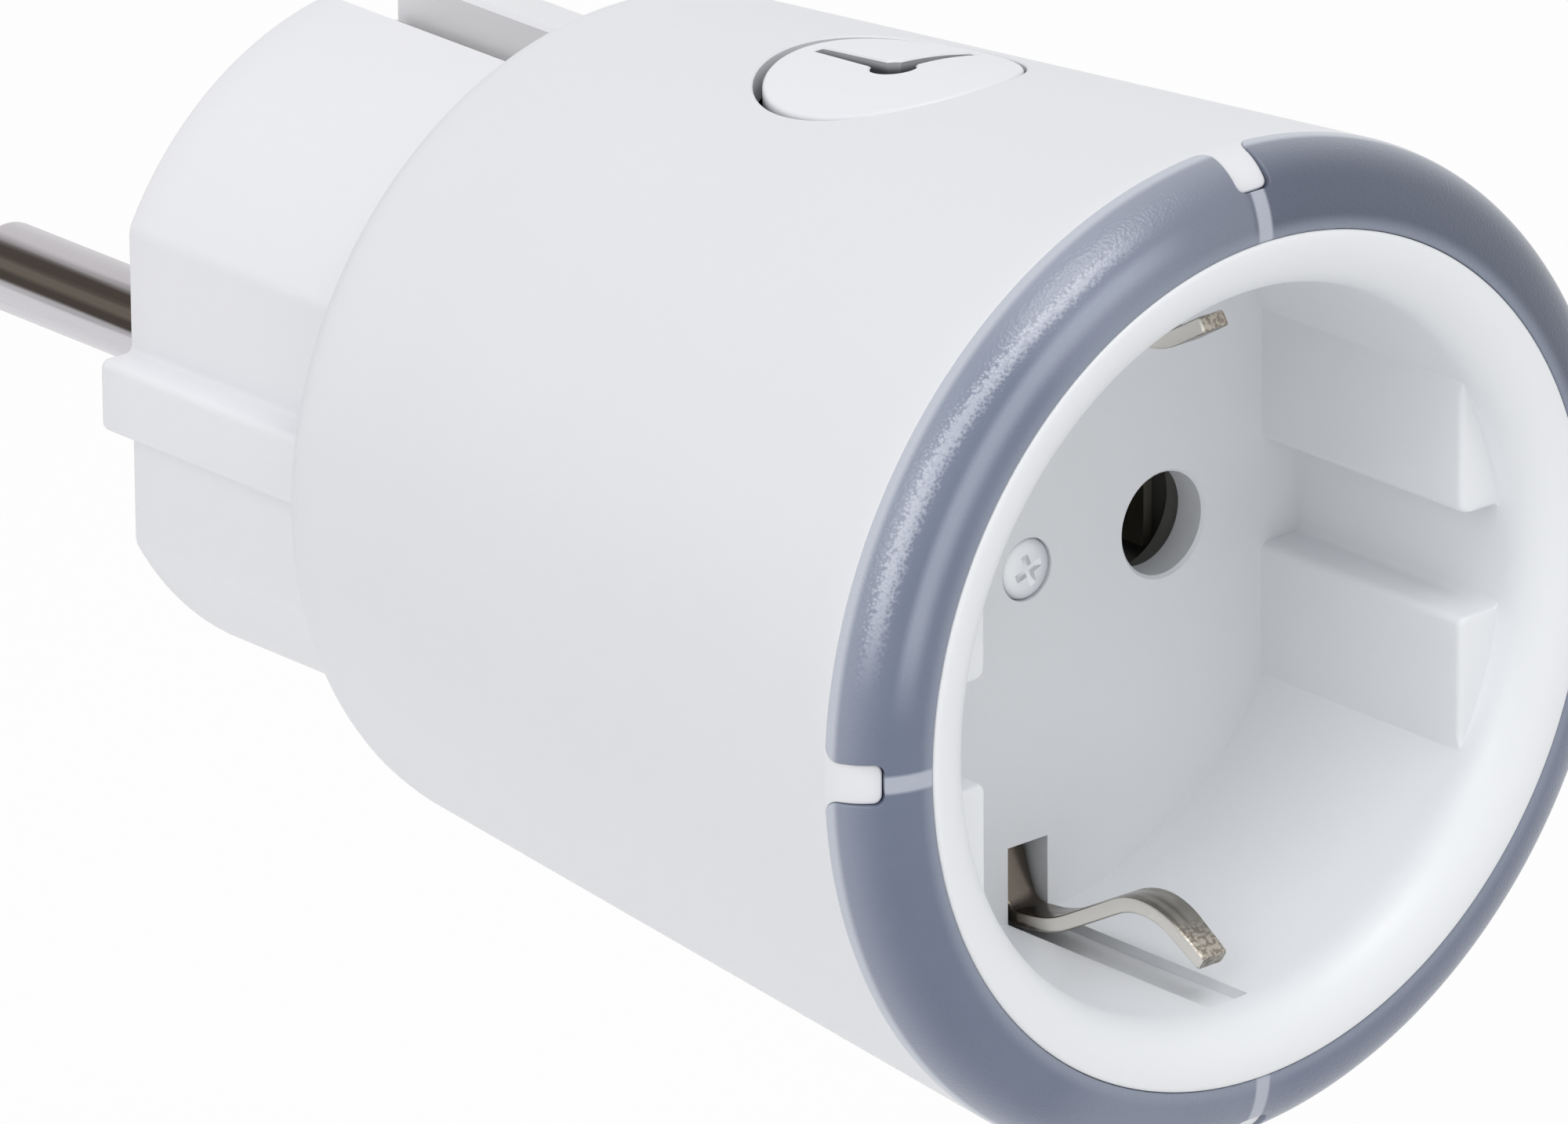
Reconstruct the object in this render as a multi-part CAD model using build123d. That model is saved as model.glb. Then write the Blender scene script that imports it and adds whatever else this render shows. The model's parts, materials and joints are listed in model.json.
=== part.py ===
from build123d import *
import os
from math import cos, radians, sin, tan

# Plug-in timer switch with a socket on its front and a plug on its back.
# Millimetres. +Z is up, +Y points at the wall, the socket looks along -Y.
# The origin is the middle of the plug's end face, between its two pins.
# Radii are stacked outwards from the pins, and depths forwards from the plug's end face.

# ---- driving dimensions: pins ----
pinSpacing = 19.0
pinRadius = 2.4
pinLength = 19.0
pinTipChamfer = 0.8
pinHeadRadius = 3.3
pinHeadLength = 2.0
pinTailRadius = 1.5
pinSeatStep = 0.6

# ---- driving dimensions: plug ----
plugLength = 19.1
plugPinMargin = 1.55
plugWall = 2.1
plugFlatInset = 2.18
plugFlatBlend = 1.5
plugEdge = 0.4
plugEndWall = 4.0
ribHalfHeight = 2.0
ribRise = 2.05
ribEdge = 0.5
channelHalfWidth = 2.4
channelLength = 14.5
channelDepth = 2.63
flangeThickness = 2.5
boardPostLength = 6.4

# ---- driving dimensions: housing ----
housingWall = 1.8
housingRearWall = 2.0
housingRearEdge = 2.3
housingTaperAngle = 5.01

# ---- driving dimensions: light ring ----
ringWidth = 4.17
ringRise = 3.4
ringStep = 0.13
ringSeat = 2.47
toothWidth = 2.1
toothBend = 2.05
toothThickness = 0.9
toothCorner = 0.5
baffleWallWidth = 1.0
baffleWallCover = 0.8
baffleThickness = 0.8
ledBoardThickness = 1.0
ledWidth = 2.0
ledHeight = 1.2
ledThickness = 0.6
ledCount = 8
leadRadius = 0.5
leadSpacing = 1.1
leadAngle = 150.0

# ---- driving dimensions: socket ----
recessDepth = 17.75
recessWall = 1.2
lipRadius = 2.8
rimLand = 0.25
rimEdge = 0.25
floorThickness = 1.9
blockSetback = 2.95
blockEdge = 0.5
clipChannelSetback = 2.8
clipChannelCut = 0.8
clipSlotInset = 4.25
insertFlangeThickness = 1.4

# ---- driving dimensions: centre screw ----
screwHeadRadius = 1.65
screwHeadHeight = 0.75
screwHeadSunk = 0.6
screwShankRadius = 1.0
screwLength = 16.0
screwCrossWidth = 0.45
screwCrossLength = 1.9
screwCrossDepth = 0.5
screwCrossTurn = 20.0

# ---- driving dimensions: button ----
buttonRadius = 6.8
buttonHoleGap = 0.4
buttonTravel = 0.4
buttonEdge = 0.35
buttonTopThickness = 1.9
buttonSkirt = 1.4
buttonFlangeReach = 1.1
buttonFlangeThickness = 0.85
buttonStemLength = 1.0
handHubRadius = 1.05
handRootHalf = 0.48
handTipHalf = 0.26
handLength = 5.6
handDepth = 0.5

# ---- driving dimensions: switch under the button ----
switchSize = 6.0
switchHeight = 3.5
plungerRadius = 1.75
plungerHeight = 1.5
plungerSunk = 1.4
smallBoardThickness = 1.0
smallBoardWidth = 17.0
smallBoardLength = 12.6
smallBoardSetback = 0.35

# ---- driving dimensions: metal strips, contacts and clips ----
stripThickness = 0.8
contactLeafHalf = 3.0
contactLeafThickness = 0.6
contactPinch = 0.1
contactTailWidth = 3.0
earthStep = 3.0
earthArmHalfWidth = 1.9
earthHubWidth = 2.4
clipHalfWidth = 1.2
clipRootInset = 0.9
clipCrestInset = 4.1
clipTipInset = 2.0
clipRise = 2.2
clipCrestBack = 7.8
clipCrestFront = 11.6
clipReach = 14.2
clipRootBend = 1.0
clipBend = 3.0
clipTipBend = 2.0
busBarHalfWidth = 3.5
busLegHalfWidth = 2.0
busLegHeight = 10.4

# ---- driving dimensions: carrier and main board ----
carrierPlate = 1.5
carrierInset = 0.6
contactRoom = 16.55
chamberHalfWidth = 5.2
chamberHalfHeight = 4.8
chamberWall = 1.0
chamberHeadroom = 1.7
postRadius = 3.0
carrierLegThickness = 1.5
boardThickness = 1.6
boardScrewInset = 3.65
boardScrewAngle = 60.0
boardPostRadius = 2.0
boardScrewRadius = 1.1
boardScrewHeadRadius = 1.9
boardScrewHeadHeight = 1.2
boardScrewLength = 6.0
boardScrewSlot = 0.5

# ---- driving dimensions: relay ----
relayWidth = 10.0
relayHeight = 17.0
relayLength = 15.3
relayShift = 1.0
relayBase = 1.2
relayWall = 0.6
relayMargin = 1.0
coreRadius = 1.5
coreLength = 10.9
coilRadius = 3.5
coilFlangeRadius = 3.9
coilDrop = 3.5
ironThickness = 1.0
yokeHeight = 1.2
yokeHalf = 3.0
yokeRise = 0.5
armatureGap = 0.7
bladeThickness = 0.4
bladeOverhang = 0.6
bladeLength = 7.5
contactButtonRadius = 1.1
contactButtonThickness = 0.4
contactButtonDrop = 6.3
contactOpening = 0.55
fixedContactDrop = 4.5
fixedContactThickness = 0.6

# ---- driving dimensions: other electronics ----
filmCapWidth = 6.0
filmCapLength = 11.0
filmCapHeight = 13.0
filmCapMargin = 1.2
smoothingCapRadius = 4.0
smoothingCapHeadroom = 5.05
varistorRadius = 4.0
varistorThickness = 3.5
varistorFoot = 3.0
fuseRadius = 2.0
fuseLength = 7.0
chipWidth = 5.0
chipHeight = 1.5
chipLength = 8.0
partEdge = 0.6

# ---- clearances ----
slideGap = 0.1
pressGap = 0.02
partGap = 0.3
toothGap = 0.15
plugFit = 0.57
blockFit = 0.1
grooveFit = 0.84
socketHoleFit = 0.38
componentGap = 1.2

# ---- radii and heights worked out from the dimensions above ----
pinX = pinSpacing / 2
pinSeatRadius = pinRadius + pinSeatStep
plugFlatHalf = pinX + pinHeadRadius + plugPinMargin + plugWall
plugRadius = plugFlatHalf + plugFlatInset
ribReach = plugFlatHalf + ribRise
earthFaceHalf = plugRadius - channelDepth
earthArmOuter = earthFaceHalf - earthStep
socketHoleRadius = pinRadius + socketHoleFit
recessRadius = plugRadius + plugFit
cupRadius = recessRadius + recessWall
rimRadius = recessRadius + lipRadius + rimLand + rimEdge
housingFrontRadius = rimRadius + ringWidth
toothTipRadius = housingFrontRadius - toothBend
blockFaceHalf = plugFlatHalf + blockFit
grooveHalf = ribHalfHeight + grooveFit
clipSlotHalfWidth = clipHalfWidth + 2 * slideGap
clipSlotTop = recessRadius - clipSlotInset
clipChannelFloor = recessRadius + clipChannelCut

# ---- depths worked out from the dimensions above ----
rearY = -plugLength
rearWallY = rearY - housingRearWall
flangeFrontY = rearWallY - flangeThickness
boardBackY = flangeFrontY - boardPostLength
boardFrontY = boardBackY - boardThickness
carrierBackY = boardFrontY - contactRoom
floorBackY = carrierBackY - carrierPlate
floorY = floorBackY - floorThickness
rimY = floorY - recessDepth
frontY = rimY + ringStep + ringRise
ringBackY = frontY + ringSeat
baffleBackY = ringBackY + baffleThickness
ledBoardBackY = baffleBackY + ledBoardThickness
insertFlangeBackY = ledBoardBackY + insertFlangeThickness
chamberEndY = boardFrontY - chamberHeadroom
taper = tan(radians(housingTaperAngle))
housingRearRadius = housingFrontRadius - taper * (rearY - frontY)
buttonY = carrierBackY + smallBoardSetback + smallBoardLength / 2
clipLegY = carrierBackY + slideGap - partGap - stripThickness / 2
pinHeadY = -plugEndWall - pinHeadLength

# ---- relay places ----
relayX = pinX - relayShift
relayRearY = boardBackY + relayLength
relayFloorY = boardBackY + relayBase
poleY = relayFloorY + coreLength
armatureY = poleY + armatureGap
hingeZ = yokeHeight + ironThickness
bladeZ = hingeZ + bladeOverhang


def coneRadius(y, sink=0):
    """Radius at y of the housing's outer surface, or of a surface sunk below it."""
    return housingFrontRadius - taper * (y - frontY) - sink


boardRadius = coneRadius(boardBackY, housingWall + partGap)
ringTongueRadius = coneRadius(baffleBackY, housingWall + slideGap)
lampCircle = (rimRadius + slideGap + ringTongueRadius) / 2
leadBoardCircle = boardRadius - leadRadius
boardScrewX = (boardRadius - boardScrewInset) * cos(radians(boardScrewAngle))
boardScrewZ = (boardRadius - boardScrewInset) * sin(radians(boardScrewAngle))
buttonRoofZ = coneRadius(buttonY) - buttonTopThickness
plungerTop = buttonRoofZ - buttonStemLength - slideGap / 2
switchTop = plungerTop - plungerHeight
smallBoardTop = switchTop - switchHeight


def turned(*outline):
    """Turn a closed outline of (radius, y) points about the Y axis."""
    return revolve(make_face(Polyline(*outline, close=True)), Axis.Y, 360)


def turnedTube(inner, outer, fromY, toY):
    return turned((inner, fromY), (outer, fromY), (outer, toY), (inner, toY))


def turnedDisc(radius, fromY, toY):
    return turnedTube(0, radius, fromY, toY)


def prism(sketch, fromY, toY):
    """Extrude an outline drawn in X and Z from one y to another."""
    return extrude(Plane.XZ.offset(-toY) * sketch, toY - fromY)


def block(x, y, z):
    """Box from three (low, high) pairs."""
    sizes = [high - low for low, high in (x, y, z)]
    centre = [(low + high) / 2 for low, high in (x, y, z)]
    return Pos(*centre) * Box(*sizes)


def rod(radius, x, z, fromY, toY):
    return prism(Pos(x, z) * Circle(radius), fromY, toY)


def crossBars(width, reach, fromY, toY):
    """Two crossed bars over the top, bottom, left and right of the face."""
    flat = prism(Rectangle(2 * reach, width), fromY, toY)
    upright = prism(Rectangle(width, 2 * reach), fromY, toY)
    return flat + upright


def bothSides(solid):
    """A solid and its mirror image across the YZ plane."""
    return [solid, mirror(solid, Plane.YZ)]


def topAndBottom(solid):
    """A solid and its mirror image across the XY plane."""
    return [solid, mirror(solid, Plane.XY)]


def around(x, halfX):
    return (x - halfX, x + halfX)


# ---- plug ----

def plugOutline(grow):
    """Round body with two flats and a guide rib on each flat."""
    flats = Rectangle(2 * (plugFlatHalf + grow), 3 * plugRadius)
    body = Circle(plugRadius + grow) & flats
    body = fillet(body.vertices(), plugFlatBlend)
    rib = Rectangle(2 * (ribReach + grow), 2 * (ribHalfHeight + grow))
    return body + fillet(rib.vertices(), ribEdge)


def plugCavity():
    """Hollow that holds the relay, the film capacitor and the pins' inner ends."""
    height = 2 * (earthArmOuter + componentGap / 2)
    outline = Circle(plugRadius - plugWall) & Rectangle(2 * (plugFlatHalf - plugWall), height)
    return prism(outline, flangeFrontY, -plugEndWall)


def plugBase():
    """Plug body, its flange inside the housing and the posts that carry the boards."""
    body = prism(plugOutline(0), rearWallY, 0)
    rim = body.faces().sort_by(Axis.Y)[-1].edges()
    body = fillet(rim, plugEdge)
    body += turnedDisc(coneRadius(rearWallY, housingWall + partGap), flangeFrontY, rearWallY)
    body -= plugCavity()
    body += rod(postRadius, 0, 0, carrierBackY, -plugEndWall)
    body -= rod(screwShankRadius + pressGap, 0, 0, carrierBackY, carrierBackY + screwLength)
    for side in (1, -1):
        x, z = side * boardScrewX, side * boardScrewZ
        body += rod(boardPostRadius, x, z, boardBackY, flangeFrontY)
        body -= rod(boardScrewRadius + pressGap, x, z, boardBackY, boardBackY + boardScrewLength)
    for x in (-pinX, pinX):
        body -= rod(pinSeatRadius + pressGap, x, 0, -plugEndWall, 0)
    channelBottom = earthFaceHalf - stripThickness
    elbowY = slideGap - channelLength
    channel = block(around(0, channelHalfWidth), (-channelLength, slideGap), (channelBottom, ribReach + 1))
    passage = block(around(0, earthArmHalfWidth + slideGap),
                    (-channelLength, elbowY + stripThickness + slideGap),
                    (earthArmOuter, channelBottom + slideGap))
    for cut in topAndBottom(channel) + topAndBottom(passage):
        body -= cut
    return body


def plugPin():
    """Solid pin with a thicker seat in the end wall, a collar behind it and a riveted tail."""
    shank = rod(pinRadius, pinX, 0, 0, pinLength)
    tip = shank.faces().sort_by(Axis.Y)[-1].edges()
    shank = chamfer(tip, pinTipChamfer)
    seat = rod(pinSeatRadius, pinX, 0, -plugEndWall, 0)
    head = rod(pinHeadRadius, pinX, 0, pinHeadY, -plugEndWall)
    tail = rod(pinTailRadius, pinX, 0, pinHeadY - 2 * stripThickness, pinHeadY)
    return shank + seat + head + tail


def busLegX():
    return pinX - busBarHalfWidth + busLegHalfWidth


def busBar():
    """Strip from the riveted pin to the main board."""
    backY = pinHeadY - stripThickness
    legTop = busLegHeight + stripThickness / 2
    legX = around(busLegX(), busLegHalfWidth)
    plate = rod(busBarHalfWidth, pinX, 0, backY, pinHeadY) + block(legX, (backY, pinHeadY), (0, legTop))
    plate -= rod(pinTailRadius + pressGap, pinX, 0, backY, pinHeadY)
    return plate + block(legX, (boardFrontY, pinHeadY), (legTop - stripThickness, legTop))


def earthBracket():
    """One bent strip: contact faces on the plug, arms to the clips and a cross strap."""
    x = around(0, earthArmHalfWidth)
    low = earthArmOuter - stripThickness
    elbowY = slideGap - channelLength
    strapY = boardFrontY - partGap
    face = block(x, (elbowY, -plugEdge), (earthFaceHalf - stripThickness, earthFaceHalf))
    elbow = block(x, (elbowY, elbowY + stripThickness), (low, earthFaceHalf))
    arm = block(x, (carrierBackY + slideGap, elbowY + stripThickness), (low, earthArmOuter))
    bracket = block(x, (strapY - stripThickness, strapY), (-earthArmOuter, earthArmOuter))
    bracket += rod(postRadius + earthHubWidth, 0, 0, strapY - stripThickness, strapY)
    bracket -= rod(postRadius + partGap, 0, 0, strapY - stripThickness, strapY)
    for piece in topAndBottom(face) + topAndBottom(elbow) + topAndBottom(arm):
        bracket += piece
    return bracket


# ---- housing ----

def toothBand():
    """Ring with the bent section of the teeth, before it is cut to four."""
    wall = housingFrontRadius - toothThickness
    rootY = frontY + toothThickness / 2
    outline = Curve() + [
        CenterArc((toothTipRadius, frontY), toothBend, 270, 90),
        Polyline((housingFrontRadius, frontY), (coneRadius(rootY), rootY), (wall, rootY), (wall, frontY)),
        CenterArc((toothTipRadius, frontY), toothBend - toothThickness, 0, -90),
        Line((toothTipRadius, frontY - toothBend + toothThickness), (toothTipRadius, frontY - toothBend)),
    ]
    return revolve(make_face(outline), Axis.Y, 360)


def teeth():
    """Four teeth with rounded corners at their tips."""
    outline = Rectangle(ringWidth, toothWidth, align=(Align.MIN, Align.CENTER))
    corners = outline.vertices().sort_by(Axis.X)[:2]
    outline = Pos(toothTipRadius, 0) * fillet(corners, toothCorner)
    cut = prism(outline, rimY, frontY + toothThickness)
    band = toothBand()
    return [band & (Rot(0, 90 * turn, 0) * cut) for turn in range(4)]


def housingShell():
    """Tapered sleeve with a rear wall, four front teeth and the button's hole."""
    outer = turned((0, frontY), (housingFrontRadius, frontY), (housingRearRadius, rearY), (0, rearY))
    rearEdge = outer.edges().filter_by(GeomType.CIRCLE).sort_by(Axis.Y)[-1]
    outer = fillet(rearEdge, housingRearEdge)
    inner = turned((0, frontY), (coneRadius(frontY, housingWall), frontY),
                   (coneRadius(rearWallY, housingWall), rearWallY), (0, rearWallY))
    shell = outer - inner
    shell -= prism(plugOutline(slideGap), rearWallY, rearY)
    for tooth in teeth():
        shell += tooth
    return shell - upright(Circle(buttonRadius + buttonHoleGap), 0, housingFrontRadius)


# ---- light ring ----

def ringDome(sink):
    """Disc with the ring's elliptical edge, sunk below its front by a depth."""
    top = frontY - ringRise + sink
    side = housingFrontRadius - sink
    outline = Curve() + [
        Polyline((0, ringBackY), (0, top), (rimRadius, top)),
        EllipticalCenterArc((rimRadius, frontY), side - rimRadius, ringRise - sink, 270, arc_size=90),
        Polyline((side, frontY), (side, ringBackY), (0, ringBackY)),
    ]
    return revolve(make_face(outline), Axis.Y, 360)


def lightRing():
    """Tinted ring, notched for the teeth and slotted from behind for the baffle's walls."""
    outside = housingFrontRadius + ringWidth
    ring = ringDome(0) - turnedDisc(rimRadius + slideGap, rimY, ringBackY)
    ring -= turnedTube(ringTongueRadius, outside, frontY, ringBackY)
    reach = toothTipRadius - toothGap
    notch = crossBars(toothWidth + 2 * toothGap, outside, rimY, ringBackY)
    ring -= notch & turnedTube(reach, outside, rimY, ringBackY)
    trough = ringDome(baffleWallCover) & turnedDisc(reach, rimY, ringBackY)
    return ring - (trough & crossBars(baffleWallWidth + 2 * slideGap, reach, rimY, ringBackY))


def lightBaffle():
    """White ring with a window for each lamp and four walls that part the ring in quarters."""
    inner = rimRadius + slideGap
    baffle = turnedTube(inner, ringTongueRadius, ringBackY, baffleBackY)
    walls = ringDome(baffleWallCover + slideGap) & turnedTube(inner, ringTongueRadius, rimY, ringBackY)
    baffle += walls & crossBars(baffleWallWidth, ringTongueRadius, rimY, ringBackY)
    window = lamp(ledWidth + 2 * partGap, ledHeight + 2 * slideGap, ringBackY)
    for turn in lampTurns():
        baffle -= turn * window
    return baffle


def lamp(width, height, fromY):
    """Box of one lamp's outline in front of the lamp board, at the right-hand end of the X axis."""
    return block(around(lampCircle, height / 2), (fromY, baffleBackY), around(0, width / 2))


def lampTurns():
    step = 360 / ledCount
    return [Rot(0, step * (index + 0.5), 0) for index in range(ledCount)]


def ledBoard():
    outer = coneRadius(ledBoardBackY, housingWall + slideGap)
    return turnedTube(rimRadius + slideGap, outer, baffleBackY, ledBoardBackY)


def leds():
    one = lamp(ledWidth, ledHeight, baffleBackY - ledThickness)
    return Compound([turn * one for turn in lampTurns()])


def ledLeads(grow=0):
    """Three straight wires that lean inwards from the lamp board to the main board."""
    step = leadSpacing / leadBoardCircle
    leads = []
    for index in (-1, 0, 1):
        angle = radians(leadAngle) + index * step
        front = Vector(lampCircle * cos(angle), ledBoardBackY, lampCircle * sin(angle))
        back = Vector(leadBoardCircle * cos(angle), boardFrontY, leadBoardCircle * sin(angle))
        run = back - front
        overrun = run.normalized() * ringWidth
        wire = extrude(Plane(front - overrun, z_dir=run) * Circle(leadRadius + grow),
                       run.length + 2 * ringWidth)
        leads.append(wire & turnedDisc(housingFrontRadius, ledBoardBackY, boardFrontY))
    return Compound(leads)


# ---- socket ----

def clipPassage(fromY, toY, innerZ):
    """Straight way for an earth clip, out to the channel's floor."""
    return block(around(0, clipSlotHalfWidth), (fromY, toY), (innerZ, clipChannelFloor))


def guideBlock():
    """Half of a side guide block, above the groove and to the right."""
    outer = recessRadius + recessWall / 2
    solid = block((blockFaceHalf, cupRadius), (rimY + blockSetback, floorY + floorThickness / 2),
                  (grooveHalf, recessRadius))
    front = solid.faces().sort_by(Axis.Y)[0].edges().filter_by(Axis.Z).sort_by(Axis.X)[0]
    solid = fillet(front, blockEdge)
    return solid & turnedDisc(outer, rimY, floorBackY)


def socketInsert():
    """Round socket cup with a rolled lip, guide blocks, pin holes and earth slots."""
    lipEnd = recessRadius + lipRadius
    mid = lipRadius * (1 - cos(radians(45)))
    flangeRadius = coneRadius(insertFlangeBackY, housingWall + slideGap)
    outline = Curve() + [
        Polyline((0, floorY), (recessRadius, floorY), (recessRadius, rimY + lipRadius)),
        ThreePointArc((recessRadius, rimY + lipRadius), (recessRadius + mid, rimY + mid), (lipEnd, rimY)),
        Polyline((lipEnd, rimY), (rimRadius - rimEdge, rimY), (rimRadius, rimY + rimEdge),
                 (rimRadius, ledBoardBackY), (flangeRadius, ledBoardBackY),
                 (flangeRadius, insertFlangeBackY), (cupRadius, insertFlangeBackY),
                 (cupRadius, floorBackY), (0, floorBackY), (0, floorY)),
    ]
    insert = revolve(make_face(outline), Axis.Y, 360)
    for side in bothSides(guideBlock()):
        for piece in topAndBottom(side):
            insert += piece
    for cut in topAndBottom(clipPassage(rimY + clipChannelSetback, floorBackY, clipSlotTop)):
        insert -= cut
    for x in (-pinX, pinX):
        insert -= rod(socketHoleRadius, x, 0, floorY, floorBackY)
    insert -= rod(screwHeadRadius + slideGap, 0, 0, floorY, floorY + screwHeadSunk)
    insert -= rod(screwShankRadius + slideGap, 0, 0, floorY, floorBackY)
    for lead in ledLeads(slideGap).solids():
        insert -= lead
    return insert


def centreScrew():
    """Cross-recess screw that clamps the socket to the plug's centre post."""
    seatY = floorY + screwHeadSunk
    headY = seatY - screwHeadHeight
    screw = rod(screwHeadRadius, 0, 0, headY, seatY)
    screw = fillet(screw.faces().sort_by(Axis.Y)[0].edges(), screwHeadHeight / 2)
    screw += rod(screwShankRadius, 0, 0, seatY, carrierBackY + screwLength - screwHeadHeight)
    arms = Rectangle(screwCrossLength, screwCrossWidth) + Rectangle(screwCrossWidth, screwCrossLength)
    return screw - prism(Rot(0, 0, screwCrossTurn) * arms, headY, headY + screwCrossDepth)


def earthClip():
    """Bent spring strip through the lower slot of the socket's floor."""
    rootZ = -(recessRadius - clipRootInset)
    crestZ = -(recessRadius - clipCrestInset)
    path = FilletPolyline(
        (clipLegY, -earthArmOuter + stripThickness),
        (clipLegY, rootZ),
        (floorY - clipRise, rootZ),
        (floorY - clipCrestBack, crestZ),
        (floorY - clipCrestFront, crestZ),
        (floorY - clipReach, -(recessRadius - clipTipInset)),
        radius=[clipRootBend, clipBend, clipBend, clipTipBend])
    strip = trace(path, line_width=stripThickness)
    return extrude(Plane.YZ.offset(-clipHalfWidth) * strip, 2 * clipHalfWidth)


def socketContact():
    """Sprung fork behind the right-hand pin hole, with a tail into the main board."""
    y = (carrierBackY + 2 * partGap, chamberEndY - partGap)
    z = around(0, contactLeafHalf)
    inner = pinRadius - contactPinch
    outer = inner + contactLeafThickness
    fork = block(around(pinX, outer), (y[1] - contactLeafThickness, y[1]), z)
    for side in (1, -1):
        middle = pinX + side * (inner + contactLeafThickness / 2)
        fork += block(around(middle, contactLeafThickness / 2), y, z)
    tail = block(around(pinX, contactTailWidth / 2), (y[1], boardBackY - slideGap),
                 around(0, stripThickness / 2))
    return fork + tail


def contactCarrier():
    """Moulded plate with a chamber round each contact and two legs under the small board."""
    carrier = turnedDisc(cupRadius - carrierInset, floorBackY, carrierBackY)
    innerX = chamberHalfWidth - chamberWall
    innerZ = chamberHalfHeight - chamberWall
    chamber = Rectangle(2 * chamberHalfWidth, 2 * chamberHalfHeight) - Rectangle(2 * innerX, 2 * innerZ)
    for x in (-pinX, pinX):
        carrier += prism(Pos(x, 0) * chamber, carrierBackY, chamberEndY)
        carrier -= rod(socketHoleRadius + 2 * partGap, x, 0, floorBackY, carrierBackY)
    legLow = smallBoardWidth / 2 - 2 * carrierLegThickness
    leg = block((legLow, legLow + carrierLegThickness), (carrierBackY, buttonY + smallBoardLength / 2),
                (chamberHalfHeight - chamberWall / 2, smallBoardTop - smallBoardThickness))
    for piece in bothSides(leg):
        carrier += piece
    innerEnd = earthArmOuter - stripThickness - partGap
    for cut in topAndBottom(clipPassage(floorBackY, carrierBackY, innerEnd)):
        carrier -= cut
    return carrier - rod(screwShankRadius + slideGap, 0, 0, floorBackY, carrierBackY)


# ---- button and its switch ----

def buttonHands():
    """Outline of two clock hands at three and twelve, with a round hub."""
    hand = make_face(Polyline((-handRootHalf, 0), (handRootHalf, 0), (handTipHalf, handLength),
                              (-handTipHalf, handLength), close=True))
    return Circle(handHubRadius) + hand + Rot(0, 0, -90) * hand


def upright(sketch, lowZ, highZ):
    """Extrude a plan outline under the button's centre from one height to another."""
    return extrude(Pos(0, buttonY, lowZ) * sketch, highZ - lowZ)


def cone(sink):
    """Solid cone of the housing's outer surface, sunk by a depth."""
    return turned((0, frontY), (coneRadius(frontY, sink), frontY), (coneRadius(rearY, sink), rearY),
                  (0, rearY))


def buttonCap():
    """Round cap flush with the housing, with a flange that keeps it in its hole."""
    top = housingFrontRadius
    low = switchTop + buttonTravel
    cap = upright(Circle(buttonRadius), low, top) & cone(0)
    cap = fillet(cap.edges().sort_by(Axis.Z)[-1], buttonEdge)
    cap -= upright(Circle(buttonRadius - buttonSkirt), low, buttonRoofZ)
    brim = Circle(buttonRadius + buttonFlangeReach) - Circle(buttonRadius - buttonSkirt)
    flangeSink = housingWall + partGap
    cap += (upright(brim, low, top) & cone(flangeSink)) - cone(flangeSink + buttonFlangeThickness)
    cap += upright(Circle(plungerRadius), plungerTop + slideGap / 2, buttonRoofZ)
    return cap - (upright(buttonHands(), buttonRoofZ, top) - cone(handDepth))


def smallBoard():
    return block(around(0, smallBoardWidth / 2), around(buttonY, smallBoardLength / 2),
                 (smallBoardTop - smallBoardThickness, smallBoardTop))


def switchBody():
    """Square push switch with a round well for its plunger."""
    body = upright(Rectangle(switchSize, switchSize), smallBoardTop, switchTop)
    wellBottom = switchTop - plungerSunk - buttonTravel - partGap
    return body - upright(Circle(plungerRadius + slideGap), wellBottom, switchTop)


def switchPlunger():
    return upright(Circle(plungerRadius), switchTop - plungerSunk, plungerTop)


# ---- main board and what stands on it ----

def mainBoard():
    """Round board with holes for the post, the contact tails, the bus bars and the screws."""
    board = turnedDisc(boardRadius, boardFrontY, boardBackY)
    board -= rod(postRadius + partGap, 0, 0, boardFrontY, boardBackY)
    tail = Rectangle(contactTailWidth + 2 * slideGap, stripThickness + 2 * slideGap)
    leg = Rectangle(2 * (busLegHalfWidth + slideGap), stripThickness + 2 * slideGap)
    notch = block(around(0, earthArmHalfWidth + partGap), (boardFrontY, boardBackY),
                  (earthArmOuter - stripThickness - partGap, housingFrontRadius))
    for side in (1, -1):
        board -= prism(Pos(side * pinX, 0) * tail, boardFrontY, boardBackY)
        board -= prism(Pos(side * busLegX(), busLegHeight) * leg, boardFrontY, boardBackY)
        board -= rod(boardScrewRadius + slideGap, side * boardScrewX, side * boardScrewZ,
                     boardFrontY, boardBackY)
    for cut in topAndBottom(notch):
        board -= cut
    return board


def boardScrews():
    """Two screws through the main board into the plug's posts."""
    headY = boardFrontY - boardScrewHeadHeight
    slot = Rectangle(2 * boardScrewHeadRadius, boardScrewSlot)
    screws = []
    for side in (1, -1):
        x, z = side * boardScrewX, side * boardScrewZ
        head = rod(boardScrewHeadRadius, x, z, headY, boardFrontY)
        head -= prism(Pos(x, z) * slot, headY, headY + boardScrewSlot)
        screws.append(head + rod(boardScrewRadius, x, z, boardFrontY,
                                 boardBackY + boardScrewLength - boardScrewSlot))
    return Compound(screws)


def relayBasePlate():
    return block(around(relayX, relayWidth / 2), (boardBackY, relayFloorY), around(0, relayHeight / 2))


def relayCover():
    """Open box that drops over the relay's works."""
    halfX = relayWidth / 2
    halfZ = relayHeight / 2
    outer = block(around(relayX, halfX), (relayFloorY, relayRearY), around(0, halfZ))
    inner = block(around(relayX, halfX - relayWall), (relayFloorY, relayRearY - relayWall),
                  around(0, halfZ - relayWall))
    return outer - inner


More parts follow.
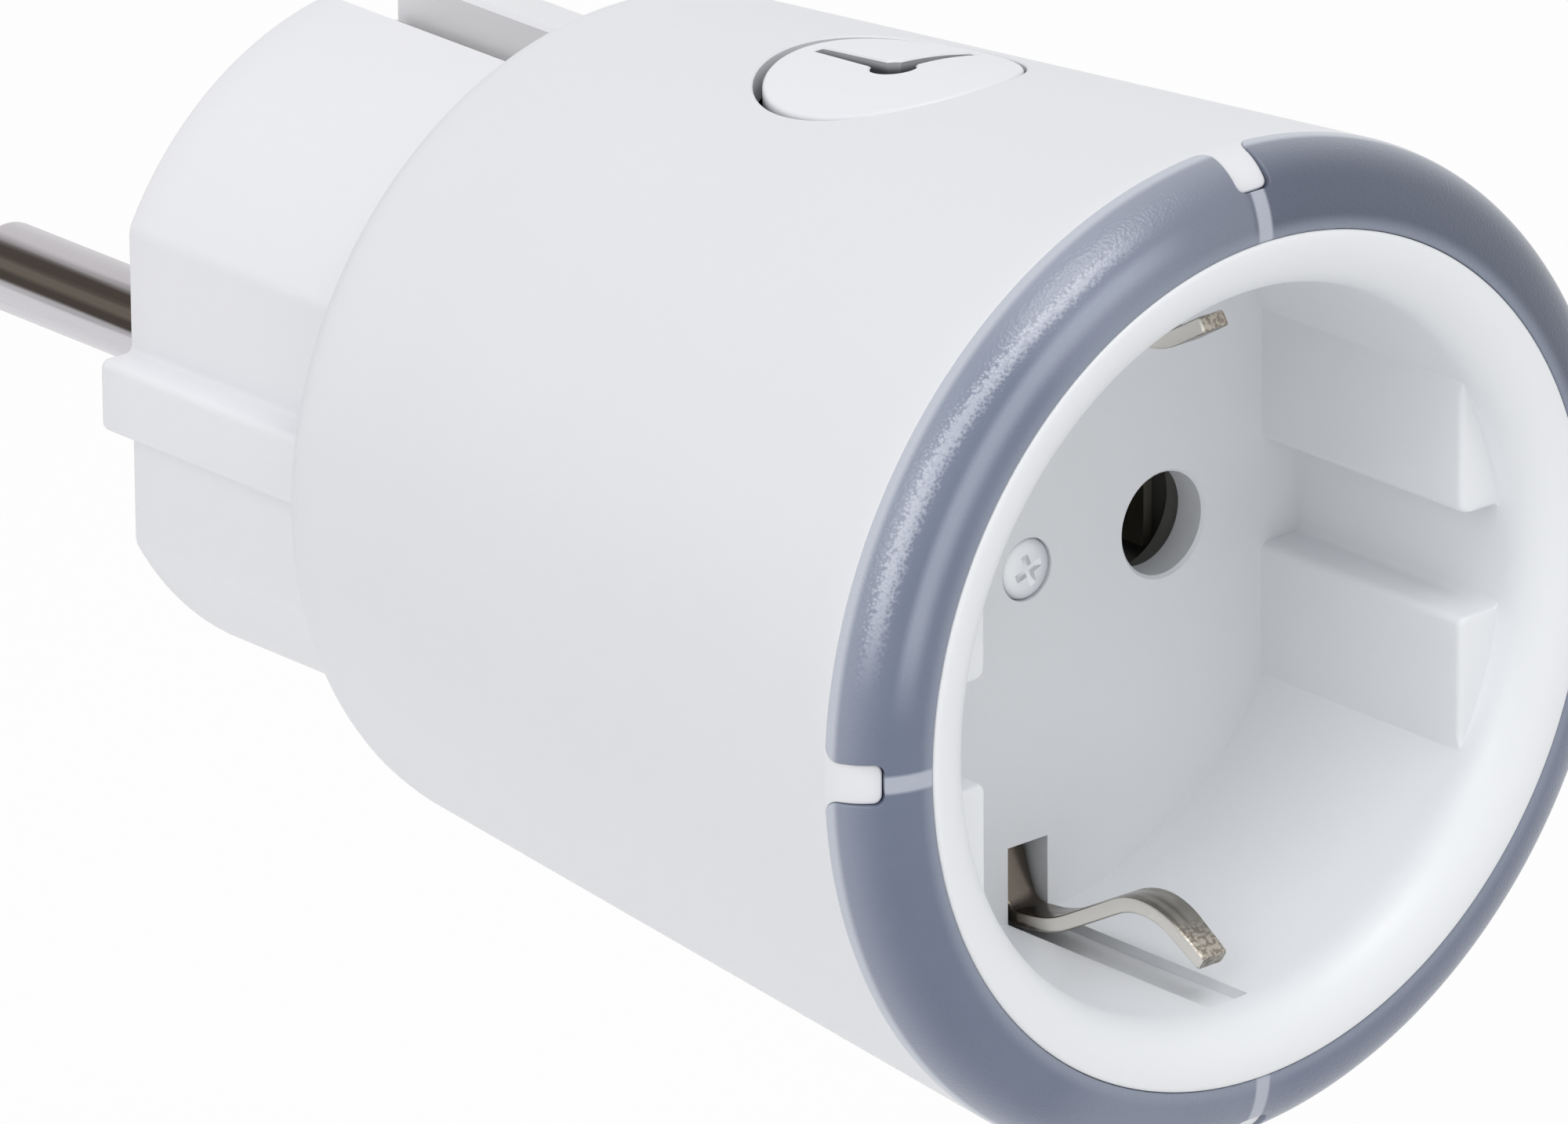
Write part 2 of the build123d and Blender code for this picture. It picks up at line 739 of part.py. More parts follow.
def relayYoke():
    """Iron frame: foot, upright and the coil's core."""
    x = around(relayX, yokeHalf)
    foot = block(x, (relayFloorY, relayFloorY + ironThickness), (relayMargin - relayHeight / 2, hingeZ))
    stem = block(x, (relayFloorY, poleY + yokeRise), (yokeHeight, hingeZ))
    return foot + stem + rod(coreRadius, relayX, -coilDrop, relayFloorY, poleY)


def relayCoil():
    """Bobbin with its winding."""
    lowY = relayFloorY + ironThickness
    highY = poleY - armatureGap
    coil = rod(coilRadius, relayX, -coilDrop, lowY, highY)
    for y in (lowY, highY - stripThickness):
        coil += rod(coilFlangeRadius, relayX, -coilDrop, y, y + stripThickness)
    return coil - rod(coreRadius + slideGap, relayX, -coilDrop, lowY, highY)


def relayArmature():
    """Rocking iron plate over the coil."""
    return block(around(relayX, yokeHalf), (armatureY, armatureY + stripThickness),
                 (2 * relayMargin - relayHeight / 2, bladeZ))


def contactButton(z):
    """Round contact whose lower face is at z."""
    disc = Cylinder(contactButtonRadius, contactButtonThickness,
                    align=(Align.CENTER, Align.CENTER, Align.MIN))
    return Pos(relayX, poleY - contactButtonDrop, z) * disc


def relayBlade():
    """Contact blade that hangs from the armature, with its contact."""
    blade = block(around(relayX, yokeHalf - relayMargin), (poleY - bladeLength, armatureY + stripThickness),
                  (bladeZ, bladeZ + bladeThickness))
    return blade + contactButton(bladeZ + bladeThickness)


def relayFixedContact():
    """Terminal post that the blade's contact closes against."""
    z = bladeZ + bladeThickness + contactButtonThickness + contactOpening
    back = z + contactButtonThickness
    post = block(around(relayX, yokeHalf - relayMargin / 2), (relayFloorY, poleY - fixedContactDrop),
                 (back, back + fixedContactThickness))
    return post + contactButton(z)


def filmCapacitor():
    low = plugWall + filmCapMargin - plugFlatHalf
    case = block((low, low + filmCapWidth), (boardBackY, boardBackY + filmCapLength),
                 around(0, filmCapHeight / 2))
    return fillet(case.edges().filter_by(Axis.Y), partEdge)


def smoothingCapacitor():
    """Round can on the front of the main board, below the right-hand chamber."""
    z = -(chamberHalfHeight + 2 * componentGap + smoothingCapRadius)
    can = rod(smoothingCapRadius, relayX, z, carrierBackY + smoothingCapHeadroom, boardFrontY)
    return fillet(can.faces().sort_by(Axis.Y)[0].edges(), partEdge)


def varistor():
    """Round disc that stands on its rim on the board, below the left-hand chamber."""
    z = -(chamberHalfHeight + componentGap / 2 + varistorRadius)
    disc = Cylinder(varistorRadius, varistorThickness)
    disc = fillet(disc.edges().filter_by(GeomType.CIRCLE), partEdge)
    foot = block(around(-relayX, varistorFoot / 2), (boardFrontY - varistorRadius, boardFrontY),
                 around(z, varistorFoot / 2))
    return Pos(-relayX, boardFrontY - varistorRadius, z) * Rot(0, 90, 0) * disc + foot


def fuse():
    """Small can that lies on the board above the right-hand chamber."""
    body = Cylinder(fuseRadius, fuseLength, align=(Align.CENTER, Align.CENTER, Align.MIN))
    body = fillet(body.edges().filter_by(GeomType.CIRCLE), partEdge)
    return Pos(pinX + fuseRadius + partEdge, boardFrontY - fuseRadius,
               chamberHalfHeight + componentGap / 2) * body


def timerChip():
    """Flat chip on the board above the left-hand chamber."""
    x = -(pinX + chipWidth)
    z = chamberHalfHeight + componentGap
    return block((x, x + chipWidth), (boardFrontY - chipHeight, boardFrontY), (z, z + chipLength))


left = Plane.YZ
lower = Plane.XY

nodes = {
    "housing_shell": housingShell(),
    "plug_base": plugBase(),
    "socket_insert": socketInsert(),
    "light_ring": lightRing(),
    "light_baffle": lightBaffle(),
    "led_board": ledBoard(),
    "leds": leds(),
    "led_leads": ledLeads(),
    "plug_pin_right": plugPin(),
    "plug_pin_left": mirror(plugPin(), left),
    "bus_bar_right": busBar(),
    "bus_bar_left": mirror(busBar(), left),
    "earth_bracket": earthBracket(),
    "earth_clip_bottom": earthClip(),
    "earth_clip_top": mirror(earthClip(), lower),
    "contact_right": socketContact(),
    "contact_left": mirror(socketContact(), left),
    "contact_carrier": contactCarrier(),
    "centre_screw": centreScrew(),
    "button_cap": buttonCap(),
    "button_board": smallBoard(),
    "switch_body": switchBody(),
    "switch_plunger": switchPlunger(),
    "main_board": mainBoard(),
    "board_screws": boardScrews(),
    "relay_base": relayBasePlate(),
    "relay_cover": relayCover(),
    "relay_yoke": relayYoke(),
    "relay_coil": relayCoil(),
    "relay_armature": relayArmature(),
    "relay_blade": relayBlade(),
    "relay_fixed_contact": relayFixedContact(),
    "film_capacitor": filmCapacitor(),
    "smoothing_capacitor": smoothingCapacitor(),
    "varistor": varistor(),
    "fuse": fuse(),
    "timer_chip": timerChip(),
}

os.makedirs("parts", exist_ok=True)
for name, shape in nodes.items():
    export_step(shape, f"parts/{name}.step")
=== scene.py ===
import json
import math

import bmesh
import bpy
import numpy as np
from mathutils import Matrix

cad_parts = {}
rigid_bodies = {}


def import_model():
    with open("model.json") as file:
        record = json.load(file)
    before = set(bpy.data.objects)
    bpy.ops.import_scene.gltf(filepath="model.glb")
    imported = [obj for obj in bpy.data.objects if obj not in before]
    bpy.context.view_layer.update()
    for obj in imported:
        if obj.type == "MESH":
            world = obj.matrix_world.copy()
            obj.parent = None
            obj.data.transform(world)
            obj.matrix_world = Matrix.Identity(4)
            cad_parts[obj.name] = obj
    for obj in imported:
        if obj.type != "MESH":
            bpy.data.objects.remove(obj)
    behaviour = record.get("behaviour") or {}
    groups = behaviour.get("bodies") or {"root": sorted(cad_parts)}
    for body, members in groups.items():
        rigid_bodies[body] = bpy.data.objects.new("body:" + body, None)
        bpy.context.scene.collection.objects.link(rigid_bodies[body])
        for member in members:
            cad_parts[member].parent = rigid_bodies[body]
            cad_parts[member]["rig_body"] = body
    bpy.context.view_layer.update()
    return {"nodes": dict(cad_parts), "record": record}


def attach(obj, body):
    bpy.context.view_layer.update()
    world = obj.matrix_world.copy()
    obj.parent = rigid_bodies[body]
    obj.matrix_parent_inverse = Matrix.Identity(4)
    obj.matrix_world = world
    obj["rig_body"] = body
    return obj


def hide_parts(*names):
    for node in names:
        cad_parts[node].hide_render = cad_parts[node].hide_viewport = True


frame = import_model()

nodes = frame["nodes"]
mm = 0.001


def toLinear(hexColour):
    # sRGB hex to the linear colour that a shader socket takes
    parts = [int(hexColour[i:i + 2], 16) / 255 for i in (1, 3, 5)]
    return tuple(c / 12.92 if c <= 0.04045 else ((c + 0.055) / 1.055) ** 2.4 for c in parts) + (1.0,)


def addNode(tree, kind, settings=None, inputs=None):
    # one shader node, its settings, and its inputs, by name or number, as values or as sockets to link from
    node = tree.nodes.new("ShaderNode" + kind)
    for name, value in (settings or {}).items():
        setattr(node, name, value)
    for name, value in (inputs or {}).items():
        if isinstance(value, bpy.types.NodeSocket):
            tree.links.new(value, node.inputs[name])
        else:
            node.inputs[name].default_value = value
    return node


def startMaterial(name, **sockets):
    # new material with a Principled shader, its plain sockets set, and object coordinates
    material = bpy.data.materials.new(name)
    material.use_nodes = True
    tree = material.node_tree
    for socket, value in sockets.items():
        tree.nodes["Principled BSDF"].inputs[socket.replace("_", " ")].default_value = value
    return material, tree, addNode(tree, "TexCoord").outputs["Object"]


def setSurface(tree, tone, roughness=None, height=None, depth=0.0, strength=1.0):
    # links the colour and, where they are given, the roughness and the bump of a height pattern, its depth in mm
    shader = tree.nodes["Principled BSDF"]
    tree.links.new(tone, shader.inputs["Base Color"])
    if roughness:
        tree.links.new(roughness, shader.inputs["Roughness"])
    if height:
        bump = addNode(tree, "Bump", inputs={"Height": height, "Distance": depth * mm, "Strength": strength})
        tree.links.new(bump.outputs["Normal"], shader.inputs["Normal"])


def layColour(tree, tone, colour, spans, strength=1.0):
    # lays a colour over a tone: its share is the strength times one smooth step for each span, and a span is
    # (what is measured, its value where the step starts, its value where the step is full)
    share = strength
    for value, start, full in spans:
        step = addNode(tree, "MapRange", {"interpolation_type": "SMOOTHSTEP"},
                       {"Value": value, "From Min": start, "From Max": full})
        share = addNode(tree, "Math", {"operation": "MULTIPLY"}, {0: step.outputs["Result"], 1: share}).outputs[0]
    return addNode(tree, "Mix", {"data_type": "RGBA"}, {"Factor": share, 6: tone, 7: colour}).outputs[2]


def fromAxis(tree, place):
    # the part of a place across the y axis, as a vector, and its length
    plan = addNode(tree, "VectorMath", {"operation": "MULTIPLY"}, {0: place, 1: (1.0, 0.0, 1.0)}).outputs[0]
    return plan, addNode(tree, "VectorMath", {"operation": "LENGTH"}, {0: plan}).outputs["Value"]


def mouldedPlastic(name, colour, shade, roughness, grain, depth):
    # thermoplastic from a spark-eroded mould: even colour with a faint flow shade, and a matt grain sized in mm
    cfg = {"flow": 18.0, "roughnessSpan": 0.04}
    material, tree, place = startMaterial(name, IOR=1.5)
    flow = addNode(tree, "TexNoise", inputs={"Vector": place, "Scale": 1 / (cfg["flow"] * mm), "Detail": 2.0})
    tone = addNode(tree, "Mix", {"data_type": "RGBA"},
                   {"Factor": flow.outputs["Fac"], 6: toLinear(colour), 7: toLinear(shade)})
    fine = addNode(tree, "TexNoise", inputs={"Vector": place, "Scale": 1 / (grain * mm), "Detail": 3.0})
    rough = addNode(tree, "MapRange", inputs={
        "Value": fine.outputs["Fac"], "From Min": 0.3, "From Max": 0.7,
        "To Min": roughness - cfg["roughnessSpan"], "To Max": roughness + cfg["roughnessSpan"]})
    setSurface(tree, tone.outputs[2], rough.outputs["Result"], fine.outputs["Fac"], depth)
    return material


def buttonWithPaintedShade():
    # moulded ABS with painted shade low in its engraved hands: a grey laid on by the depth below the housing's cone,
    # which sets the shade's share
    cfg = {"recessShade": "#6a6b70", "depth": (0.2, 0.75), "frontRadius": 26.67, "frontY": -65.77, "taper": 5.01}
    material = mouldedPlastic("mouldedAbsButton", "#edeef2", "#e9eaee", 0.40, 0.12, 0.003)
    tree = material.node_tree
    plain = tree.nodes["Principled BSDF"].inputs["Base Color"].links[0].from_socket
    place = addNode(tree, "TexCoord").outputs["Object"]
    radius = fromAxis(tree, place)[1]
    y = addNode(tree, "SeparateXYZ", inputs={"Vector": place}).outputs["Y"]
    slope = math.tan(math.radians(cfg["taper"]))
    surface = addNode(tree, "Math", {"operation": "MULTIPLY_ADD"}, {
        0: y, 1: -slope, 2: (cfg["frontRadius"] + slope * cfg["frontY"]) * mm})
    depth = addNode(tree, "Math", {"operation": "SUBTRACT"}, {0: surface.outputs[0], 1: radius}).outputs[0]
    shallow, deep = cfg["depth"]
    # painted shade: the deeper the engraving lies below the cone, the darker its grey
    setSurface(tree, layColour(tree, plain, toLinear(cfg["recessShade"]), [(depth, shallow * mm, deep * mm)]))
    return material


def platedMetal(name, colour, shade, roughness):
    # barrel-plated metal: soft cloudy gloss
    cfg = {"cloud": 3.0, "smoother": 0.05, "rougher": 0.07}
    material, tree, place = startMaterial(name, Metallic=1.0)
    cloud = addNode(tree, "TexNoise", inputs={"Vector": place, "Scale": 1 / (cfg["cloud"] * mm), "Detail": 4.0})
    tone = addNode(tree, "Mix", {"data_type": "RGBA"},
                   {"Factor": cloud.outputs["Fac"], 6: toLinear(colour), 7: toLinear(shade)})
    rough = addNode(tree, "MapRange", inputs={
        "Value": cloud.outputs["Fac"], "From Min": 0.3, "From Max": 0.7,
        "To Min": roughness - cfg["smoother"], "To Max": roughness + cfg["rougher"]})
    setSurface(tree, tone.outputs[2], rough.outputs["Result"])
    return material


def drawnNickel():
    # bright nickel on drawn brass rod: fine scratches along the pin, and a painted reflection of dark surroundings as
    # dark lengthwise bands on its upper flank
    cfg = {
        "bright": "#cfccd1", "line": 0.09, "scratch": 0.004, "wander": 0.5, "roughness": (0.18, 0.32),   # mm
        # painted reflection bands: height over the pin's axis where a colour starts and where it is full, and the
        # colour
        "steps": [(-0.05, 0.4, "#433c37"), (0.75, 1.0, "#625a52"), (1.3, 1.55, "#433c37"), (1.85, 2.25, "#bdb9bd")],
    }
    material, tree, place = startMaterial("nickelOnDrawnBrass", Metallic=1.0)
    along = addNode(tree, "VectorMath", {"operation": "MULTIPLY"}, {0: place, 1: (1.0, 0.02, 1.0)}).outputs[0]
    lines, shift = (addNode(tree, "TexNoise", inputs={
        "Vector": along, "Scale": 1 / (size * mm), "Detail": detail}).outputs["Fac"]
        for size, detail in ((cfg["line"], 2.0), (cfg["wander"], 1.0)))
    height = addNode(tree, "SeparateXYZ", inputs={"Vector": place}).outputs["Z"]
    wave = addNode(tree, "Math", {"operation": "MULTIPLY_ADD"}, {0: shift, 1: cfg["wander"] * mm, 2: height}).outputs[0]
    tone, middle = toLinear(cfg["bright"]), cfg["wander"] / 2
    # painted reflection: dark and pale bands laid by height over the axis, wavering along the pin
    for start, full, colour in cfg["steps"]:
        tone = layColour(tree, tone, toLinear(colour), [(wave, (start + middle) * mm, (full + middle) * mm)])
    smooth, rough = cfg["roughness"]
    gloss = addNode(tree, "MapRange", inputs={
        "Value": lines, "From Min": 0.3, "From Max": 0.7, "To Min": smooth, "To Max": rough})
    setSurface(tree, tone, gloss.outputs["Result"], lines, cfg["scratch"])
    return material


def rolledNickel():
    # nickel-plated spring strip: dull streaked faces and a scuffed tip, with a painted highlight on the sheared sides,
    # which face along x, and painted shade darkening its root towards the back
    cfg = {
        "side": "#f7f2e9", "bright": "#a9a49b", "dull": "#837e76", "deep": "#6b635b", "scuffDark": "#857e75",
        "scuffPale": "#b0aaa0", "sideHighlightTurn": (0.5, 0.85), "tip": (-63.4, -64.1), "root": (-55.0, -52.0),   # y in mm
        "streak": 0.5, "scuff": 0.22, "relief": 0.01, "roughness": (0.16, 0.34),                          # mm
    }
    material, tree, place = startMaterial("nickelOnRolledStrip", Metallic=1.0)
    along = addNode(tree, "VectorMath", {"operation": "MULTIPLY"}, {0: place, 1: (1.0, 0.12, 0.12)}).outputs[0]
    streak, scuff = (addNode(tree, "TexNoise", inputs={
        "Vector": vector, "Scale": 1 / (size * mm), "Detail": 4.0}).outputs["Fac"]
        for vector, size in ((along, cfg["streak"]), (place, cfg["scuff"])))
    turned = addNode(tree, "TexCoord").outputs["Normal"]
    across = addNode(tree, "SeparateXYZ", inputs={
        "Vector": addNode(tree, "VectorMath", {"operation": "ABSOLUTE"}, {0: turned}).outputs[0]}).outputs["X"]
    y = addNode(tree, "SeparateXYZ", inputs={"Vector": place}).outputs["Y"]
    side, bright, dull, deep, scuffDark, scuffPale = (
        toLinear(cfg[k]) for k in ("side", "bright", "dull", "deep", "scuffDark", "scuffPale"))
    tone = layColour(tree, bright, dull, [(streak, 0.35, 0.65)])
    scuffed = layColour(tree, scuffDark, scuffPale, [(scuff, 0.42, 0.58)])
    tone = layColour(tree, tone, scuffed, [(y, cfg["tip"][0] * mm, cfg["tip"][1] * mm)])
    # painted highlight: faces turned along x are laid much lighter
    tone = layColour(tree, tone, side, [(across, *cfg["sideHighlightTurn"])])
    # painted shade: the root towards the back, down in the slot, is laid darker
    tone = layColour(tree, tone, deep, [(y, cfg["root"][0] * mm, cfg["root"][1] * mm)])
    smooth, rough = cfg["roughness"]
    gloss = addNode(tree, "MapRange", inputs={"Value": streak, "To Min": smooth, "To Max": rough})
    setSurface(tree, tone, gloss.outputs["Result"], streak, cfg["relief"])
    return material


def smokedRing():
    # smoked polycarbonate, moulded smooth outside and pebbled inside: a grey-blue wall, hazy and paler at its thin
    # outer edge, with the white partitions seen through it; painted shade darkens its upper right, paler painted light
    # lies on its left towards the top and bottom, and in the upper left quarter lie two arcs of painted highlight, one
    # pebbled and one blurred
    cfg = {
        "body": "#687289", "deep": "#5d677e", "upper": "#454d60", "edge": "#c3c8d3", "partition": "#b4bac7",
        "haze": "#b0b6c4", "paintedLight": "#b4bac8", "paintedHighlight": "#cfd4e0", "inner": "#b0b7c6", "lip": "#868e9f",
        "cloud": 6.0, "pebble": 0.17, "pebbleShift": 0.48, "pebbleDepth": 0.05, "highlightShift": 0.43,          # mm
        "partitionHalf": 0.45, "partitionBlur": 0.12, "edgeY": (-66.62, -66.19), "hazeY": (-68.6, -66.3),    # mm
        "lipRadii": (23.4, 22.6), "highlightRadii": (26.62, 26.35, 26.28, 25.8), "innerHighlightRadii": (25.1, 24.6, 24.4, 23.6),
        "highlightWay": (-0.73, 0.68), "highlightTurn": (-0.5, -0.8),   # x and z of a direction, and x where the highlight bends
    }
    material, tree, place = startMaterial("smokedPolycarbonate", IOR=1.58, Roughness=0.3, Coat_Weight=0.15,
                                          Coat_Roughness=0.12)
    x, y, _ = addNode(tree, "SeparateXYZ", inputs={"Vector": place}).outputs
    plan, radius = fromAxis(tree, place)
    way = addNode(tree, "VectorMath", {"operation": "NORMALIZE"}, {0: plan}).outputs[0]
    pebble = addNode(tree, "TexVoronoi", {"feature": "SMOOTH_F1"}, {
        "Vector": place, "Scale": 1 / (cfg["pebble"] * mm), "Smoothness": 0.5}).outputs["Distance"]
    cloud = addNode(tree, "TexNoise", inputs={"Vector": place, "Scale": 1 / (cfg["cloud"] * mm), "Detail": 2.0})
    bent = addNode(tree, "MapRange", inputs={
        "Value": addNode(tree, "SeparateXYZ", inputs={"Vector": way}).outputs["X"], "From Min": cfg["highlightTurn"][0],
        "From Max": cfg["highlightTurn"][1], "To Min": cfg["highlightShift"] * mm, "To Max": 0.0})
    moved = addNode(tree, "Math", {"operation": "ADD"}, {0: radius, 1: bent.outputs["Result"]})
    pebbled = addNode(tree, "Math", {"operation": "MULTIPLY_ADD"}, {
        0: pebble, 1: cfg["pebbleShift"] * mm, 2: moved.outputs[0]}).outputs[0]

    tone = addNode(tree, "Mix", {"data_type": "RGBA"},
                   {"Factor": cloud.outputs["Fac"], 6: toLinear(cfg["body"]), 7: toLinear(cfg["deep"])}).outputs[2]
    # one dot product per direction, as its x and z: towards the upper right, the painted highlight, the lit top, the
    # lit bottom
    toRight, toHighlight, toLitTop, toFoot = (
        addNode(tree, "VectorMath", {"operation": "DOT_PRODUCT"}, {0: way, 1: (a, 0.0, b)}).outputs["Value"]
        for a, b in ((0.64, 0.77), cfg["highlightWay"], (-0.24, 0.97), (-0.26, -0.97)))

    def band(value, radii):
        # two spans that rise to full from both sides of a band, given as its outer and inner borders
        return [(value, radii[0] * mm, radii[1] * mm), (value, radii[3] * mm, radii[2] * mm)]

    leftHalf = (x, -0.3 * mm, -0.9 * mm)
    for colour, strength, spans in (
            # painted shade: the upper right of the ring is laid darker
            ("upper", 0.85, [(toRight, 0.3, 0.9)]),
            # painted light: paler washes on the left towards the top and the bottom, and faintly towards the painted
            # highlight
            ("paintedLight", 0.22, [(toLitTop, 0.88, 0.98), leftHalf]),
            ("paintedLight", 0.17, [(toFoot, 0.93, 0.995)]),
            ("paintedLight", 0.05, [(toHighlight, 0.78, 0.9), leftHalf]),
            ("haze", 0.4, [(y, cfg["hazeY"][0] * mm, cfg["hazeY"][1] * mm)]),
            ("lip", 0.8, [(radius, cfg["lipRadii"][0] * mm, cfg["lipRadii"][1] * mm)]),
            # painted highlights: a pebbled outer arc and a blurred inner arc in the upper left quarter
            ("paintedHighlight", 0.56, band(pebbled, cfg["highlightRadii"]) + [(toHighlight, 0.83, 0.95)]),
            ("inner", 0.48, band(radius, cfg["innerHighlightRadii"]) + [(toHighlight, 0.80, 0.92)]),
            ("edge", 0.85, [(y, cfg["edgeY"][0] * mm, cfg["edgeY"][1] * mm)])):
        tone = layColour(tree, tone, toLinear(cfg[colour]), spans, strength)
    side = addNode(tree, "SeparateXYZ", inputs={
        "Vector": addNode(tree, "VectorMath", {"operation": "ABSOLUTE"}, {0: place}).outputs[0]})
    cross = addNode(tree, "Math", {"operation": "MINIMUM"}, {0: side.outputs["X"], 1: side.outputs["Z"]}).outputs[0]
    half, blur = cfg["partitionHalf"], cfg["partitionBlur"]
    tone = layColour(tree, tone, toLinear(cfg["partition"]), [(cross, (half + blur) * mm, (half - blur) * mm)], 0.85)
    setSurface(tree, tone, height=pebble, depth=cfg["pebbleDepth"], strength=0.4)
    return material


finishes = {
    "housing_plastic": mouldedPlastic("mouldedAbsHousing", "#e6e7eb", "#e3e4e8", 0.42, 0.12, 0.004),
    "plug_plastic": mouldedPlastic("mouldedNylonPlug", "#ebebef", "#e7e8ec", 0.45, 0.12, 0.004),
    "socket_plastic": mouldedPlastic("mouldedNylonSocket", "#ebedf0", "#e7e9ec", 0.40, 0.12, 0.003),
    "button_plastic": buttonWithPaintedShade(),
    "ring_plastic": smokedRing(),
    "baffle_plastic": mouldedPlastic("mouldedWhiteBaffle", "#e6e8ea", "#dfe1e4", 0.5, 0.15, 0.004),
    "lamp_lens": mouldedPlastic("castEpoxyLens", "#dcdcc8", "#d0d0b8", 0.15, 0.3, 0.001),
    "nickel": platedMetal("nickelPlatedBrass", "#cfccc8", "#bdb8b3", 0.25),
    "spring_bronze": platedMetal("springBronze", "#c9a266", "#b58d52", 0.28),
    "circuit_board": mouldedPlastic("solderMaskBoard", "#1f5c38", "#184a2d", 0.35, 0.4, 0.004),
    "black_plastic": mouldedPlastic("mouldedBlackNylon", "#1c1c1e", "#17171a", 0.45, 0.15, 0.004),
    "relay_plastic": mouldedPlastic("mouldedRelayCover", "#27427f", "#213a72", 0.4, 0.15, 0.004),
    "soft_iron": platedMetal("bareSoftIron", "#8f8f92", "#7c7c80", 0.4),
    "copper_winding": platedMetal("enamelledCopperWire", "#b8683f", "#9f5631", 0.3),
    "capacitor_plastic": mouldedPlastic("boxedFilmCapacitor", "#c79a2e", "#bb8f27", 0.4, 0.15, 0.004),
    "can_sleeve": mouldedPlastic("shrinkSleeveCan", "#20242f", "#1a1e28", 0.3, 0.3, 0.002),
    "varistor_coating": mouldedPlastic("dippedVaristor", "#2a5aa6", "#244f95", 0.45, 0.3, 0.01),
    "fuse_body": mouldedPlastic("mouldedFuse", "#7d3020", "#6f2a1b", 0.4, 0.15, 0.004),
    "wire_sleeve": mouldedPlastic("redWireSleeve", "#b52a22", "#a6241d", 0.4, 0.3, 0.002),
    "screw_steel": platedMetal("zincPlatedSteel", "#e9ebed", "#dfe1e4", 0.5),
    "pin_nickel": drawnNickel(),
    "clip_nickel": rolledNickel(),
    "contact_metal": platedMetal("tarnishedContactBronze", "#c4beb3", "#b1aba0", 0.4),
    "carrier_plastic": mouldedPlastic("mouldedGreyCarrier", "#8d8d8a", "#82827f", 0.45, 0.15, 0.004),
}
slotOf = {row["node"]: row["material_slot"] for row in frame["record"]["subparts"]}
finishOf = {**slotOf, "plug_pin_right": "pin_nickel", "plug_pin_left": "pin_nickel", "earth_clip_top": "clip_nickel",
            "earth_clip_bottom": "clip_nickel", "contact_right": "contact_metal", "contact_left": "contact_metal",
            "contact_carrier": "carrier_plastic"}
for name, obj in nodes.items():
    obj.data.materials.clear()
    obj.data.materials.append(finishes[finishOf[name]])
print("materials done")


def unit(v):
    # vectors divided by their lengths
    return v / np.maximum(np.linalg.norm(v, axis=-1, keepdims=True), 1e-12)


def sweepAngle(start, stop, count):
    # even steps between two angles, degrees to radians
    return np.radians(np.linspace(start, stop, count))


def roundedPath(corners, radii, steps=6):
    # straight runs joined by arcs: an arc touches both its runs at radius over tan(half the inner angle)
    corners = np.array(corners, float)
    parts = [corners[:1]]
    for before, corner, after, radius in zip(corners, corners[1:], corners[2:], radii):
        if radius == 0:
            parts.append(corner[None])
            continue
        back, ahead = unit(before - corner), unit(after - corner)
        half = np.arccos(np.clip(back @ ahead, -1, 1)) / 2
        centre = corner + unit(back + ahead) * radius / np.sin(half)
        first, last = (corner + way * radius / np.tan(half) - centre for way in (back, ahead))
        turn = np.pi - 2 * half
        t = np.linspace(0, 1, steps + 1)[:, None]
        parts.append(centre + (first * np.sin((1 - t) * turn) + last * np.sin(t * turn)) / np.sin(turn))
    parts.append(corners[-1:])
    return np.concatenate(parts)


def fourQuarters(quarter):
    # closed outline from its first quarter, which runs from the right-hand axis up to the top one
    x, z = quarter.T
    second = np.stack([-x[-2::-1], z[-2::-1]], 1)
    upper = np.concatenate([quarter, second])
    return np.concatenate([upper, -upper[1:-1]])


def outwardNormals(outline):
    # normals of a closed outline that runs anticlockwise, from the chord between each point's neighbours
    chord = unit(np.roll(outline, -1, 0) - np.roll(outline, 1, 0))
    return np.stack([chord[:, 1], -chord[:, 0]], 1)


def atDepth(outline, y):
    # a plan outline in x and z, set at one y or at one y for each point
    return np.stack([outline[:, 0], np.broadcast_to(y, len(outline)), outline[:, 1]], 1)


def gridPatch(rows, wrap=True):
    # quads between neighbouring points of a grid of rows; wrap joins the last column to the first
    points = np.array(rows, float)
    index = np.arange(points.shape[0] * points.shape[1]).reshape(points.shape[:2])
    if wrap:
        index = np.concatenate([index, index[:, :1]], 1)
    quads = np.stack([index[:-1, :-1], index[:-1, 1:], index[1:, 1:], index[1:, :-1]], -1)
    return points.reshape(-1, 3), quads.reshape(-1, 4)


def turnedPatch(profile, columns=96, centre=(0, 0)):
    # profile of (radius, y) turned about a line along y through centre
    angle = np.linspace(0, 2 * np.pi, columns, endpoint=False)
    radius, y = np.array(profile, float).T
    rows = np.stack([centre[0] + radius[:, None] * np.cos(angle), y[:, None] + 0 * angle,
                     centre[1] + radius[:, None] * np.sin(angle)], -1)
    return gridPatch(rows)


def boxPatch(x, y, z):
    # closed box from three (low, high) pairs, as four corners drawn from one end to the other
    loop = np.array([(x[0], z[0]), (x[1], z[0]), (x[1], z[1]), (x[0], z[1])], float)
    middle = np.tile(loop.mean(0), (4, 1))
    return gridPatch([atDepth(middle, y[0]), atDepth(loop, y[0]), atDepth(loop, y[1]), atDepth(middle, y[1])])


edgeAngle = 32   # degrees between two faces past which their edge stays sharp


def shadeSmooth(mesh):
    # smooth faces, but for edges that turn by more than the edge angle
    mesh.shade_smooth()
    mesh.set_sharp_from_angle(angle=math.radians(edgeAngle))


